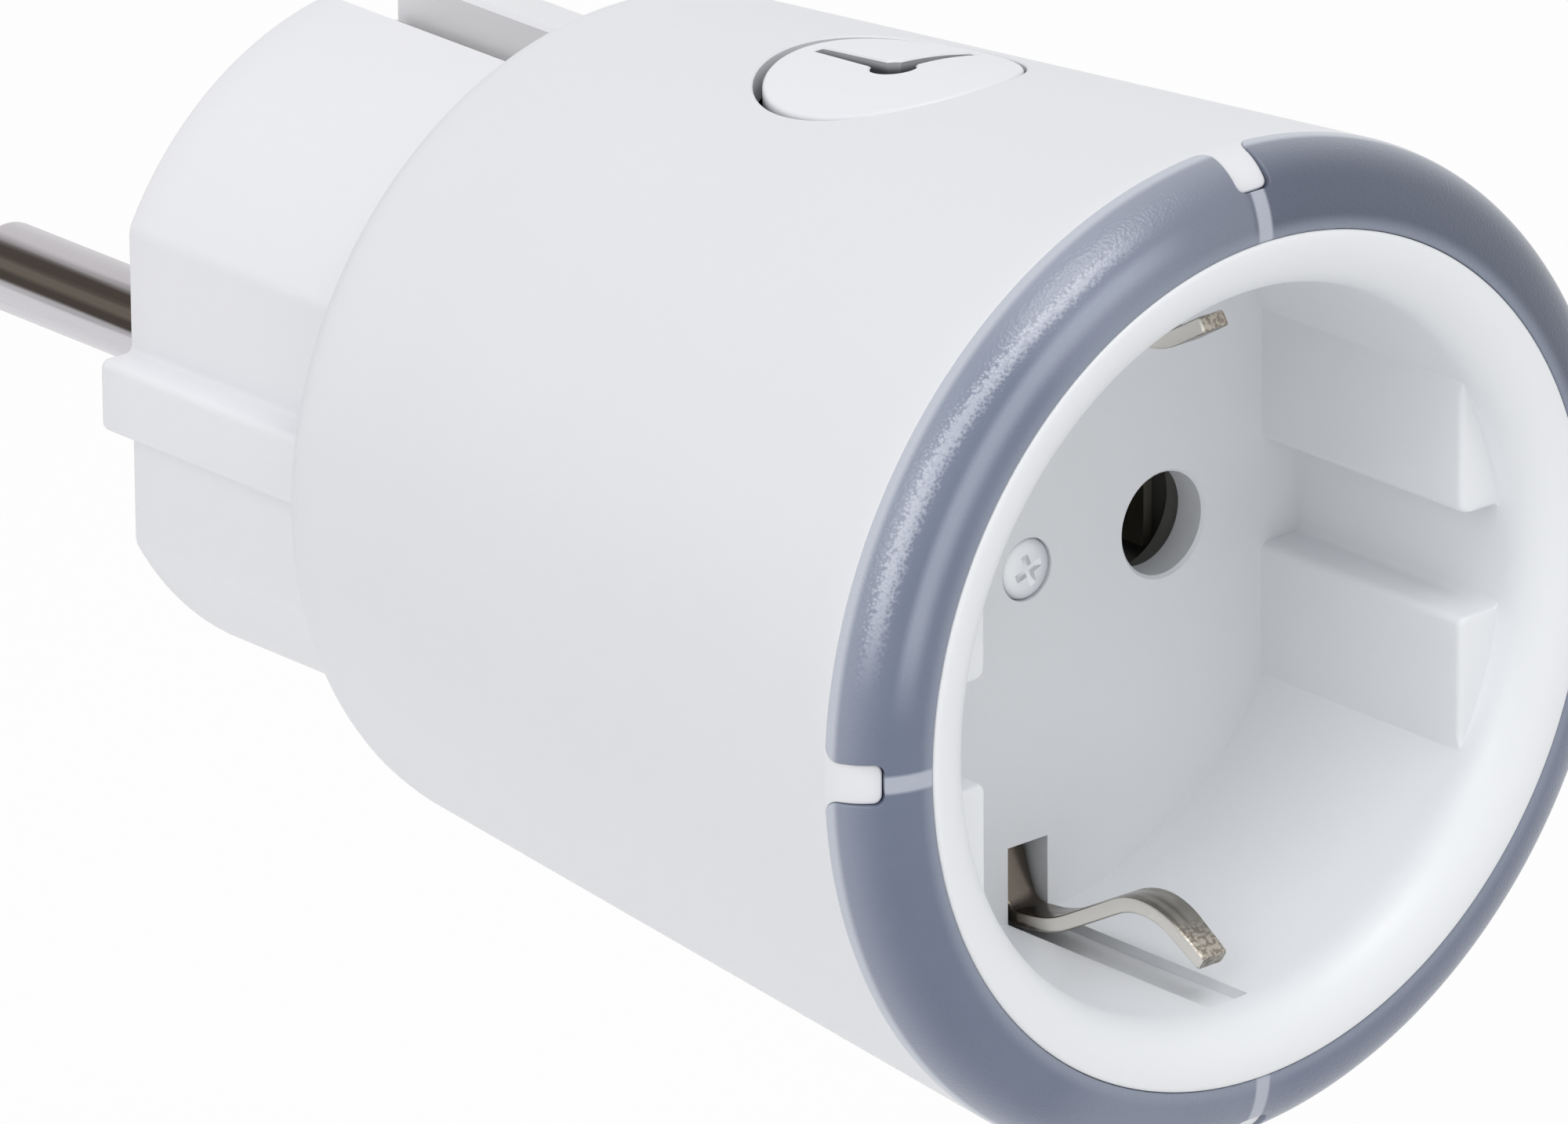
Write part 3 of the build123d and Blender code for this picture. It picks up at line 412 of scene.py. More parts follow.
def buildMesh(name, patches):
    # patches in mm, joined where their edges meet; doubled points close the poles, and faces point outwards
    points = np.concatenate([p for p, _ in patches]) * mm
    starts = np.cumsum([0] + [len(p) for p, _ in patches[:-1]])
    quads = np.concatenate([q + s for (_, q), s in zip(patches, starts)])
    mesh = bpy.data.meshes.new(name)
    mesh.from_pydata(points.tolist(), [], quads.tolist())
    work = bmesh.new()
    work.from_mesh(mesh)
    bmesh.ops.remove_doubles(work, verts=work.verts, dist=2e-6)
    bmesh.ops.dissolve_degenerate(work, edges=work.edges, dist=1e-6)
    bmesh.ops.recalc_face_normals(work, faces=work.faces)
    work.to_mesh(mesh)
    work.free()
    shadeSmooth(mesh)
    return mesh


def addPiece(name, patches, node, cuts=()):
    # one piece that stands for a CAD node, with each group of cuts taken away in turn
    obj = bpy.data.objects.new(name, buildMesh(name, patches))
    bpy.context.scene.collection.objects.link(obj)
    for group in cuts:
        tool = bpy.data.objects.new("tool", buildMesh("tool", group))
        bpy.context.scene.collection.objects.link(tool)
        change = obj.modifiers.new("cut", "BOOLEAN")
        change.solver = "EXACT"
        change.use_self = True
        change.object = tool
        graph = bpy.context.evaluated_depsgraph_get()
        obj.data = bpy.data.meshes.new_from_object(obj.evaluated_get(graph))
        obj.modifiers.clear()
        bpy.data.objects.remove(tool)
    shadeSmooth(obj.data)
    obj.data.materials.clear()
    obj.data.materials.append(finishes[finishOf[node]])
    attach(obj, nodes[node]["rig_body"])
    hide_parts(node)
    print(name, len(obj.data.vertices), "points")


def edgeTurn(radius, steps=3):
    # quarter turn over an edge as (outward, downward) pairs
    t = sweepAngle(0, 90, steps + 1)
    return np.stack([radius * np.sin(t), radius * (1 - np.cos(t))], 1)


ring = {
    "inner": 22.5, "wide": 4.17, "rise": 3.4, "frontY": -65.77, "innerGap": 0.03, "thick": 1.9,   # quarter ellipse, mm
    "notchHalf": 1.1, "notchLength": 3.27, "notchCorner": 0.75, "notchEnd": 0.55, "edge": 0.07,
    "notchColumns": 10, "sideColumns": 70,
}
ringTurn = np.linspace(0, math.pi / 2, 400)
ringSteps = np.hypot(np.diff(ring["wide"] * np.cos(ringTurn)), np.diff(ring["rise"] * np.sin(ringTurn)))
ringLength = np.concatenate([[0], np.cumsum(ringSteps)])


def ringProfile(along, sunk):
    # quarter ellipse: along is the distance from the outer edge, sunk is inwards along the normal
    t = np.interp(along, ringLength, ringTurn)
    nr, ny = np.cos(t) / ring["wide"], -np.sin(t) / ring["rise"]
    size = np.hypot(nr, ny)
    radius = ring["inner"] + ring["wide"] * np.cos(t) - sunk * nr / size
    return radius, ring["frontY"] - ring["rise"] * np.sin(t) - sunk * ny / size


housing = {
    "frontRadius": 26.67, "frontY": -65.77, "rearY": -19.1, "taper": 5.01,   # tapered sleeve, mm and degrees
    "wall": 1.8, "rearWall": 2.0, "rearEdge": 2.3, "rearChamfer": 0.15, "holeGap": 0.1, "innerStart": 1.0,
    "toothHalf": 1.05, "toothLength": 3.17, "toothSink": 0.3, "toothTip": 0.5, "toothRoot": 0.8,
    "toothThickness": 0.9, "edge": 0.1, "baseColumns": 14, "sideColumns": 70, "rows": 34,
}
plug = {
    "radius": 18.63, "flatHalf": 16.45, "flatBlend": 1.5, "ribReach": 18.5, "ribHalf": 2.0,
    "ribEdge": 0.5, "ribRoot": 0.35, "edge": 0.4, "channelHalf": 2.4, "channelFloor": 15.2, "channelY": -14.5,
    "wall": 2.1, "endWall": 4.0, "cavityHalf": 13.6, "frontY": -23.6, "rearY": -21.1, "flangeGap": 0.3,
    "pinX": 9.5, "seatRadius": 3.02, "seatDepth": 5.0, "studAt": (8.9, 15.416),
    "post": [(0, -32.15), (1.02, -32.15), (1.02, -48.15), (3.0, -48.15), (3.0, -3.9), (0, -3.9)],   # (radius, y)
    "stud": [(0, -24), (1.12, -24), (1.12, -30), (2.0, -30), (2.0, -23.5), (0, -23.5)],             # (radius, y)
    "channelEdge": 0.35, "channelDrop": 0.3, "channelFlare": (1.2, 19.6),
    "wayHalf": 2.0, "wayY": (-14.49, -13.5), "wayReach": (13.0, 15.25),
}


def coneRadius(y, sink=0.0):
    # the housing's radius at y: its front radius less the tangent of the taper times the distance behind it
    return housing["frontRadius"] - math.tan(math.radians(housing["taper"])) * (y - housing["frontY"]) - sink


def plugQuarter(cfg):
    # rib face, rib side, flat, blend and round of the plug's outline
    blendX = cfg["flatHalf"] - cfg["flatBlend"]
    blendZ = math.sqrt((cfg["radius"] - cfg["flatBlend"]) ** 2 - blendX ** 2)
    last = math.degrees(math.atan2(blendZ, blendX))
    low = roundedPath([(cfg["ribReach"], 0), (cfg["ribReach"], cfg["ribHalf"]), (cfg["flatHalf"], cfg["ribHalf"]),
                       (cfg["flatHalf"], blendZ)], [cfg["ribEdge"], cfg["ribRoot"]])
    t = sweepAngle(0, last, 9)[1:]
    blend = np.stack([blendX + cfg["flatBlend"] * np.cos(t), blendZ + cfg["flatBlend"] * np.sin(t)], 1)
    t = sweepAngle(last, 90, 48)[1:]
    return np.concatenate([low, blend, cfg["radius"] * np.stack([np.cos(t), np.sin(t)], 1)])


plugOutline = fourQuarters(plugQuarter(plug))


def plugReach(angle):
    # radius of the plug's outline at an angle round the y axis
    around = np.arctan2(plugOutline[:, 1], plugOutline[:, 0]) % (2 * np.pi)
    order = np.argsort(around)
    return np.interp(angle % (2 * np.pi), around[order], np.linalg.norm(plugOutline, axis=1)[order],
                     period=2 * np.pi)


def housingProfile(along, sunk):
    # radius and y of the wall: the cone behind the front edge, and past it the ring's profile, which a tooth follows
    slant = math.radians(housing["taper"])
    behind = (housing["frontRadius"] + along * math.sin(slant) - sunk * math.cos(slant),
              housing["frontY"] - along * math.cos(slant) - sunk * math.sin(slant))
    past = ringProfile(along, sunk + housing["toothSink"] * np.clip(along / housing["toothLength"], 0, 1))
    return tuple(np.where(along > 0, p, b) for p, b in zip(past, behind))


def housingPoints(centre, across, along, sunk):
    # a point of the wall at a distance across from a line at the angle centre
    radius, y = housingProfile(along, sunk)
    angle = centre + np.arcsin(np.clip(across / housingProfile(along, 0.0)[0], -1, 1))
    return np.stack([radius * np.cos(angle), y + 0 * angle, radius * np.sin(angle)], -1)


def toothRows(cfg, inset):
    # half width of a tooth and its height past the front edge: root fillet, side and rounded tip
    half, root, tip = cfg["toothHalf"] - inset, cfg["toothRoot"] + inset, cfg["toothTip"] - inset
    top = cfg["toothLength"] - inset
    t = sweepAngle(0, 90, 7)
    fillet = np.stack([half + root - root * np.sin(t), root - inset - root * np.cos(t)], 1)
    side = np.stack([np.full(5, half), np.linspace(fillet[-1, 1], top - tip, 7)[1:-1]], 1)
    corner = np.stack([half - tip + tip * np.cos(t), top - tip + tip * np.sin(t)], 1)
    return np.concatenate([fillet, side, corner])


def frontEdge(cfg, inset):
    # the front edge and the teeth as one closed line of (centre angle, across, along)
    rows = toothRows(cfg, inset)
    base = math.asin(rows[0, 0] / cfg["frontRadius"])
    parts = []
    for k in range(4):
        centre = k * math.pi / 2
        tipAcross = np.linspace(-rows[-1, 0], rows[-1, 0], cfg["baseColumns"] + 1)[1:-1]
        side = np.linspace(centre + base, centre + math.pi / 2 - base, cfg["sideColumns"] + 1)[1:-1]
        for angle, across, along in (
                (centre, -rows[:, 0], rows[:, 1]), (centre, tipAcross, rows[-1, 1]),
                (centre, rows[::-1, 0], rows[::-1, 1]), (side, 0.0, -inset)):
            shape = np.broadcast_shapes(np.shape(angle), np.shape(across), np.shape(along))
            parts.append(np.stack([np.broadcast_to(v, shape) for v in (angle, across, along)], 1))
    return np.concatenate(parts)


def lineNormals(line, radius):
    # outward normals of a front line, unrolled to a flat strip
    flat = np.stack([line[:, 0] * radius + line[:, 1], line[:, 2]], 1)
    ahead, back = np.roll(flat, -1, 0), np.roll(flat, 1, 0)
    ahead[-1, 0] += 2 * np.pi * radius
    back[0, 0] -= 2 * np.pi * radius
    chord = unit(ahead - back)
    return np.stack([-chord[:, 1], chord[:, 0]], 1)


def housingPatches(cfg):
    # sleeve with a rear fillet and wall, four bent teeth, a rounded front edge and the inner skin
    thick, edge = cfg["toothThickness"], cfg["edge"]
    outerTooth, innerTooth = toothRows(cfg, edge), toothRows(cfg, 0.0)
    base = math.asin(outerTooth[0, 0] / cfg["frontRadius"])
    fraction = np.linspace(-1, 1, cfg["baseColumns"] + 1)
    angles = []
    for k in range(4):
        centre = k * math.pi / 2
        side = np.linspace(centre + base, centre + math.pi / 2 - base, cfg["sideColumns"] + 1)[1:-1]
        angles += [centre + np.arcsin(outerTooth[0, 0] * fraction / cfg["frontRadius"]), side]
    angles = np.concatenate(angles)
    cos, sin = np.cos(angles), np.sin(angles)
    slant = math.radians(cfg["taper"])
    middleY = cfg["rearY"] - cfg["rearEdge"]
    middleR = coneRadius(middleY) - cfg["rearEdge"] / math.cos(slant)
    turn = np.linspace(slant, math.pi / 2, 9)
    innerY = cfg["rearY"] - cfg["rearWall"]
    length = (middleY + cfg["rearEdge"] * math.sin(slant) - cfg["frontY"]) / math.cos(slant)
    cone = [housingProfile(np.float64(-a), 0.0) for a in np.linspace(edge, length, cfg["rows"])[:-1]]
    fillet = [(middleR + cfg["rearEdge"] * math.cos(t), middleY + cfg["rearEdge"] * math.sin(t)) for t in turn]
    hole = plugReach(angles) + cfg["holeGap"]
    rear = [(hole + cfg["rearChamfer"], cfg["rearY"]), (hole, cfg["rearY"] - cfg["rearChamfer"]), (hole, innerY)]
    inner = [(coneRadius(y, cfg["wall"]), y)
             for y in np.linspace(innerY, cfg["frontY"] + cfg["innerStart"], cfg["rows"])]
    front = [housingProfile(np.float64(0), thick)]
    rows = [np.stack([r * cos, y + 0 * cos, r * sin], 1) for r, y in cone + fillet + rear + inner + front]
    patches = [gridPatch(rows)]
    for k in range(4):
        for tooth, sunk in ((outerTooth, 0.0), (innerTooth, thick)):
            across = tooth[:, :1] * fraction
            patches.append(gridPatch(housingPoints(k * math.pi / 2, across, tooth[:, 1:], sunk), wrap=False))
    line = frontEdge(cfg, edge)
    normal = lineNormals(line, cfg["frontRadius"])
    skirt = [housingPoints(line[:, 0], line[:, 1] + o * normal[:, 0], line[:, 2] + o * normal[:, 1], d)
             for o, d in edgeTurn(edge)]
    innerLine = frontEdge(cfg, 0.0)
    skirt.append(housingPoints(innerLine[:, 0], innerLine[:, 1], innerLine[:, 2], thick))
    return patches + [gridPatch(skirt)]


button = {
    "y": -41.55, "radius": 6.65, "edge": 0.22, "roof": 2.6, "skirt": 5.4, "low": 19.6, "flange": 7.9,   # mm
    "flangeSink": 2.8, "flangeThickness": 0.85, "stem": 1.75, "stemTop": 22.4, "stemLow": 21.65,
    "hub": 1.2, "handRoot": 0.6, "handTip": 0.36, "handLength": 5.7, "handDepth": 1.0, "handEdge": 0.1,
    "handUnder": 0.35, "cutRise": 0.5, "holeY": -41.3, "holeGap": 0.33, "holeDepth": 4.0, "holeChamfer": 0.09,
}


def onCone(x, y, sink):
    # height over the axis of a surface sunk below the housing's cone
    radius = coneRadius(y, sink)
    return np.sqrt(np.maximum(radius ** 2 - x ** 2, 0))


def buttonRow(radius, angle, sink):
    # circle about the button's middle, laid on a surface sunk below the cone
    x, y = radius * np.cos(angle), button["y"] + radius * np.sin(angle)
    return np.stack([x, y, onCone(x, y, sink)], 1)


def levelRow(radius, angle, height):
    # circle about the button's middle, at one height
    return np.stack([radius * np.cos(angle), button["y"] + radius * np.sin(angle), height + 0 * angle], 1)


def buttonPatches(cfg):
    # cap whose top follows the cone, with a rounded edge, a retaining flange, a skirt and a stem
    angle = np.linspace(0, 2 * np.pi, 160, endpoint=False)
    edge, under = cfg["edge"], cfg["flangeSink"] + cfg["flangeThickness"]
    roof = coneRadius(cfg["y"]) - cfg["roof"]
    rows = [buttonRow(r, angle, 0.0) for r in np.linspace(0, cfg["radius"] - edge, 30)]
    rows += [buttonRow(cfg["radius"] - edge + o, angle, d) for o, d in edgeTurn(edge, 5)[1:]]
    rows += [buttonRow(r, angle, sink) for r, sink in (
        (cfg["radius"], cfg["flangeSink"]), (cfg["flange"], cfg["flangeSink"]), (cfg["flange"], under),
        (cfg["radius"], under))]
    rows += [levelRow(r, angle, z) for r, z in (
        (cfg["radius"], cfg["low"]), (cfg["skirt"], cfg["low"]), (cfg["skirt"], roof), (0.0, roof))]
    stem = [levelRow(r, angle, z) for r, z in (
        (0.0, cfg["stemTop"]), (cfg["stem"], cfg["stemTop"]), (cfg["stem"], cfg["stemLow"]), (0.0, cfg["stemLow"]))]
    return [gridPatch(rows), gridPatch(stem)]


def sunkCutter(outline, depth, chamfer, y, under=0.0):
    # closed cutter under a plan outline: flared above the cone, wider by under at its floor, which has one depth
    middle = outline.mean(0)
    normal = outwardNormals(outline)
    rise = button["cutRise"]
    rows = []
    for out, sink, share in ((rise, chamfer - rise, 0.0), (rise, chamfer - rise, 1.0), (0.0, chamfer, 1.0),
                             (under, depth, 1.0), (0.0, depth, 0.66), (0.0, depth, 0.33), (0.0, depth, 0.0)):
        plan = middle + share * (outline + out * normal - middle)
        rows.append(np.stack([plan[:, 0], y + plan[:, 1], onCone(plan[:, 0], y + plan[:, 1], sink)], 1))
    return gridPatch(rows)


def circleOutline(radius, count):
    # even points round a circle
    angle = np.linspace(0, 2 * np.pi, count, endpoint=False)
    return np.stack([radius * np.cos(angle), radius * np.sin(angle)], 1)


def handOutline(cfg, turned):
    # tapered bar from the hub, wider at its root, run anticlockwise
    long = np.linspace(0, cfg["handLength"], 24)
    half = cfg["handRoot"] + (cfg["handTip"] - cfg["handRoot"]) * long / cfg["handLength"]
    bar = np.concatenate([np.stack([half, long], 1), np.stack([-half, long], 1)[::-1]])
    return np.stack([bar[:, 1], -bar[:, 0]], 1) if turned else bar


socket = {
    "rimRadius": 22.5, "rimY": -69.3, "rimEdge": 0.25, "lip": 2.8, "recess": 19.2, "floorY": -51.55,
    "backY": -49.65, "cup": 20.4, "flangeRadius": 24.2, "flangeY": (-61.5, -60.1), "floorFillet": 0.02,
    "blockX": 16.35, "blockY": -66.35, "blockEdge": 0.38, "grooveHalf": 2.84, "grooveEdge": 0.5, "grooveRoot": 0.4,
    "channelHalf": 1.4, "channelReach": 19.75, "channelY": -66.5, "slotLow": 14.95, "slotTop": 19.73,
    "holeRadius": 2.78, "holeEdge": 0.18, "pinX": 9.5, "screwRadius": 1.69, "screwEdge": 0.04, "screwDepth": 0.6,
    "screwHole": 1.1, "cutRise": 0.4, "cutPast": 1.0, "slotGap": 0.02, "slotRise": 0.3,
}


def socketQuarter(cfg):
    # groove floor, groove side, block face, round wall and earth channel of the recess's outline
    r, g, b = cfg["recess"], cfg["grooveHalf"], cfg["blockX"]
    t = np.linspace(0, math.asin((g - cfg["grooveRoot"]) / r), 8)
    floor = r * np.stack([np.cos(t), np.sin(t)], 1)
    corner = roundedPath([floor[-1], (math.sqrt(r ** 2 - g ** 2), g), (b, g), (b, g + 1.5)],
                         [cfg["grooveRoot"], cfg["grooveEdge"]], 5)
    z = np.linspace(g + 1.5, math.sqrt(r ** 2 - b ** 2), 19)[1:]
    face = np.stack([np.full(18, b), z], 1)
    t = np.linspace(math.acos(b / r), math.acos(cfg["channelHalf"] / r), 60)[1:]
    wall = r * np.stack([np.cos(t), np.sin(t)], 1)
    x = np.linspace(cfg["channelHalf"], 0, 5)
    return np.concatenate([floor[:-1], corner, face, wall, np.stack([x, np.full(5, cfg["channelReach"])], 1)])


def socketPatches(cfg):
    # cup, flange, rim, rolled lip, then the recess: each column steps from the round lip to its own outline
    outline = fourQuarters(socketQuarter(cfg))
    reach = np.linalg.norm(outline, axis=1)
    way = outline / reach[:, None]
    rim, r = cfg["rimY"], cfg["recess"]
    rows = [atDepth(way * radius, y) for radius, y in (
        (0, cfg["backY"]), (cfg["cup"], cfg["backY"]), (cfg["cup"], cfg["flangeY"][1]),
        (cfg["flangeRadius"], cfg["flangeY"][1]), (cfg["flangeRadius"], cfg["flangeY"][0]),
        (cfg["rimRadius"], cfg["flangeY"][0]))]
    rows += [atDepth(way * (cfg["rimRadius"] - d), rim + cfg["rimEdge"] - o)
             for o, d in edgeTurn(cfg["rimEdge"])]
    lip = r + cfg["lip"]
    rows += [atDepth(way * (lip - cfg["lip"] * math.sin(t)), rim + cfg["lip"] * (1 - math.cos(t)))
             for t in sweepAngle(0, 90, 15)]
    circle, channel = way * r, reach > r + 0.01
    gap = np.linalg.norm(circle - outline, axis=1)
    start = np.where(channel, cfg["channelY"], cfg["blockY"])
    edge = np.where(channel, 0.0, np.minimum(cfg["blockEdge"], gap))[:, None]
    rows.append(atDepth(circle, start))
    rows += [atDepth(outline + unit(circle - outline) * edge * (1 - math.sin(t)),
                     start + edge[:, 0] * (1 - math.cos(t))) for t in sweepAngle(0, 90, 5)]
    fillet, normal = cfg["floorFillet"], outwardNormals(outline)
    top = cfg["floorY"] - fillet
    rows += [atDepth(outline, start + edge[:, 0] + (top - start - edge[:, 0]) * share)
             for share in np.linspace(0.1, 1, 12)]
    rows += [atDepth(outline - normal * fillet * (1 - math.cos(t)), top + fillet * math.sin(t))
             for t in sweepAngle(0, 90, 5)[1:]]
    flat = rows[-1][:, [0, 2]]
    rows += [atDepth(flat * share, cfg["floorY"]) for share in (0.8, 0.5, 0.2, 0)]
    return [gridPatch(rows)]


def socketCuts(cfg):
    # pin holes and the screw's seat, each with a chamfer that runs on past the floor, then its hole and the slots
    floor, back, rise = cfg["floorY"], cfg["backY"] + cfg["cutPast"], cfg["cutRise"]

    def mouth(radius, edge):
        return [(0, floor - rise), (radius + edge + rise, floor - rise), (radius, floor + edge)]

    holes = [turnedPatch(mouth(cfg["holeRadius"], cfg["holeEdge"]) + [(cfg["holeRadius"], back), (0, back)], 96, (x, 0))
             for x in (-cfg["pinX"], cfg["pinX"])]
    seat = floor + cfg["screwDepth"]
    holes.append(turnedPatch(mouth(cfg["screwRadius"], cfg["screwEdge"]) + [
        (cfg["screwRadius"], seat), (cfg["screwHole"], seat), (cfg["screwHole"], back), (0, back)], 64))
    half = cfg["channelHalf"] - cfg["slotGap"]
    return holes + [boxPatch((-half, half), (floor - cfg["slotRise"], back), span)
                    for span in ((cfg["slotLow"], cfg["slotTop"]), (-cfg["slotTop"], -cfg["slotLow"]))]


def ringPoints(angle, along, sunk):
    # a point of the ring's profile, turned by an angle about the y axis
    radius, y = ringProfile(along, sunk)
    return np.stack([radius * np.cos(angle), y + 0 * angle, radius * np.sin(angle)], -1)


def notchRows(cfg, inset):
    # a notch's rounded mouth, side and rounded end, as angles from its middle and distances in from the outer edge
    half, mouth, end = cfg["notchHalf"] + inset, cfg["notchCorner"] - inset, cfg["notchEnd"] + inset
    bottom = cfg["notchLength"] + inset
    t = sweepAngle(0, 90, 7)
    corner = np.stack([half + mouth - mouth * np.sin(t), inset + mouth - mouth * np.cos(t)], 1)
    side = np.stack([np.full(4, half), np.linspace(corner[-1, 1], bottom - end, 6)[1:-1]], 1)
    tip = np.stack([half - end + end * np.cos(t), bottom - end + end * np.sin(t)], 1)
    across, along = np.concatenate([corner, side, tip]).T
    return np.arcsin(across / ringProfile(along, 0.0)[0]), along


def ringSkin(cfg, inset, sunk):
    # four notched quarters and the plain band inside them, at one depth
    edgeAngle, notchAlong = notchRows(cfg, inset)
    start = edgeAngle[:, None]
    span = (math.pi / 2 - 2 * start) * np.linspace(0, 1, cfg["sideColumns"] + 1)
    notch = np.linspace(-1, 1, cfg["notchColumns"] + 1)[:-1] * edgeAngle[-1]
    last = np.interp(cfg["innerGap"] / cfg["wide"], np.cos(ringTurn[::-1]), ringLength[::-1]) - inset
    quarters = np.arange(4) * math.pi / 2
    patches = [gridPatch(ringPoints(centre + start + span, notchAlong[:, None], sunk), wrap=False)
               for centre in quarters]
    angles = np.concatenate([part for centre in quarters for part in (
        centre + notch, centre + start[-1] + span[-1, :-1])])
    along = np.linspace(notchAlong[-1], last, 14)[:, None]
    patches.append(gridPatch(ringPoints(angles, along, sunk)))
    return patches, angles, last


def ringEdge(cfg, inset):
    # the outer edge and its notches as one closed line of (angle, along)
    edgeAngle, along = notchRows(cfg, inset)
    parts = []
    for centre in np.arange(4) * math.pi / 2:
        notch = centre + np.linspace(-1, 1, cfg["notchColumns"] + 1) * edgeAngle[-1]
        outer = centre + edgeAngle[0] + (math.pi / 2 - 2 * edgeAngle[0]) * np.linspace(0, 1, cfg["sideColumns"] + 1)
        for angle, distance in ((notch, along[-1]), (centre + edgeAngle[::-1][1:], along[::-1][1:]),
                                (outer[1:], along[0]), (centre + math.pi / 2 - edgeAngle[1:-1], along[1:-1])):
            parts.append(np.stack([angle, np.broadcast_to(distance, angle.shape)], 1))
    return np.concatenate(parts)


def ringPatches(cfg):
    # outer skin, inner skin, and the rounded sides between them along both edges
    outer, angles, last = ringSkin(cfg, cfg["edge"], 0.0)
    inner, innerAngles, innerLast = ringSkin(cfg, 0.0, cfg["thick"])
    line, innerLine = ringEdge(cfg, cfg["edge"]), ringEdge(cfg, 0.0)
    radius = cfg["inner"] + cfg["wide"]
    flat = np.stack([line[:, 0], 0 * line[:, 0], -line[:, 1]], 1)
    normal = lineNormals(flat, radius)
    rows = [ringPoints(line[:, 0] + o * normal[:, 0] / radius, line[:, 1] - o * normal[:, 1], d)
            for o, d in edgeTurn(cfg["edge"])]
    rows.append(ringPoints(*innerLine.T, cfg["thick"]))
    inside = [ringPoints(angles, last + o, d) for o, d in edgeTurn(cfg["edge"])]
    inside.append(ringPoints(innerAngles, innerLast, cfg["thick"]))
    return outer + inner + [gridPatch(rows), gridPatch(inside)]


def plugPatches(cfg):
    # body with rounded end edges and the hollow in front, plus the flange and the three posts
    outline = plugOutline
    normal = outwardNormals(outline)
    way = unit(outline)
    cos, sin = np.abs(way.T)
    hollow = np.minimum(cfg["radius"] - cfg["wall"],
                        np.minimum((cfg["flatHalf"] - cfg["wall"]) / np.maximum(cos, 1e-6),
                                   cfg["cavityHalf"] / np.maximum(sin, 1e-6)))[:, None] * way
    flange = coneRadius(cfg["rearY"], housing["wall"] + cfg["flangeGap"])
    rows = [atDepth(hollow * share, -cfg["endWall"]) for share in (0, 0.5, 1)]
    rows += [atDepth(hollow, cfg["frontY"]), atDepth(way * flange, cfg["frontY"]), atDepth(way * flange, cfg["rearY"])]
    rows += [atDepth(outline, y) for y in np.linspace(cfg["rearY"], -cfg["edge"], 12)]
    rows += [atDepth(outline - normal * d, o - cfg["edge"]) for o, d in edgeTurn(cfg["edge"])[1:]]
    face = rows[-1][:, [0, 2]]
    rows += [atDepth(face * share, 0.0) for share in (0.7, 0.35, 0)]
    x, z = cfg["studAt"]
    return [gridPatch(rows), turnedPatch(cfg["post"], 48)] + [
        turnedPatch(cfg["stud"], 32, centre) for centre in ((x, z), (-x, -z))]


def plugCuts(cfg):
    # earth channels with broken edges, the ways through for the strip, and the pins' seats
    x, low = cfg["channelHalf"], cfg["channelFloor"]
    side = math.sqrt(cfg["radius"] ** 2 - x ** 2)
    edge, drop = cfg["channelEdge"], cfg["channelDrop"]
    out, top = cfg["channelFlare"]
    flank = np.array([(x, low), (x, side - drop), (x + edge, side - drop + edge), (x + out, top)])
    groups = []
    for sign in (1, -1):
        loop = np.concatenate([flank, flank[::-1] * (-1, 1)]) * (1, sign)
        middle = np.tile((0, sign * (low + side) / 2), (len(loop), 1))
        groups.append([gridPatch([atDepth(plan, y) for plan, y in (
            (middle, cfg["channelY"]), (loop, cfg["channelY"]), (loop, 1.0), (middle, 1.0))])])
    near, far = cfg["wayReach"]
    ways = [boxPatch((-cfg["wayHalf"], cfg["wayHalf"]), cfg["wayY"], span) for span in ((near, far), (-far, -near))]
    seat = [(0, -cfg["seatDepth"]), (cfg["seatRadius"], -cfg["seatDepth"]), (cfg["seatRadius"], 1), (0, 1)]
    return groups + [ways + [turnedPatch(seat, 64, (px, 0)) for px in (-cfg["pinX"], cfg["pinX"])]]


pin = {"x": 9.5, "radius": 2.4, "length": 19.0, "tip": 0.8, "seat": 3.0, "head": 3.3, "tail": 1.5,
       "tailY": -7.6, "headY": (-6.0, -4.0)}


def pinPatches(cfg, side):
    # turned shank with a rounded tip, the collar in the end wall, the head and the riveted tail
    tip = [(cfg["radius"] - cfg["tip"] * (1 - math.cos(t)), cfg["length"] - cfg["tip"] + cfg["tip"] * math.sin(t))
           for t in sweepAngle(0, 90, 7)]
    back, front = cfg["headY"]
    profile = [(0, cfg["tailY"]), (cfg["tail"], cfg["tailY"]), (cfg["tail"], back), (cfg["head"], back),
               (cfg["head"], front), (cfg["seat"], front), (cfg["seat"], 0), (cfg["radius"], 0)] + tip
    profile.append((0, cfg["length"]))
    return [turnedPatch(profile, 96, (side * cfg["x"], 0))]


clip = {
    "half": 1.05, "tipHalf": 0.88, "taperY": -61.3, "taperLength": 4.0, "thick": 0.85, "edge": 0.18, "endRound": 0.6,
    "route": [(-48.75, 13.2), (-50.9, 19.0), (-54.3, 18.6), (-61.3, 14.8), (-65.3, 17.25)],
    "bends": [1.4, 6.5, 4.2],
}


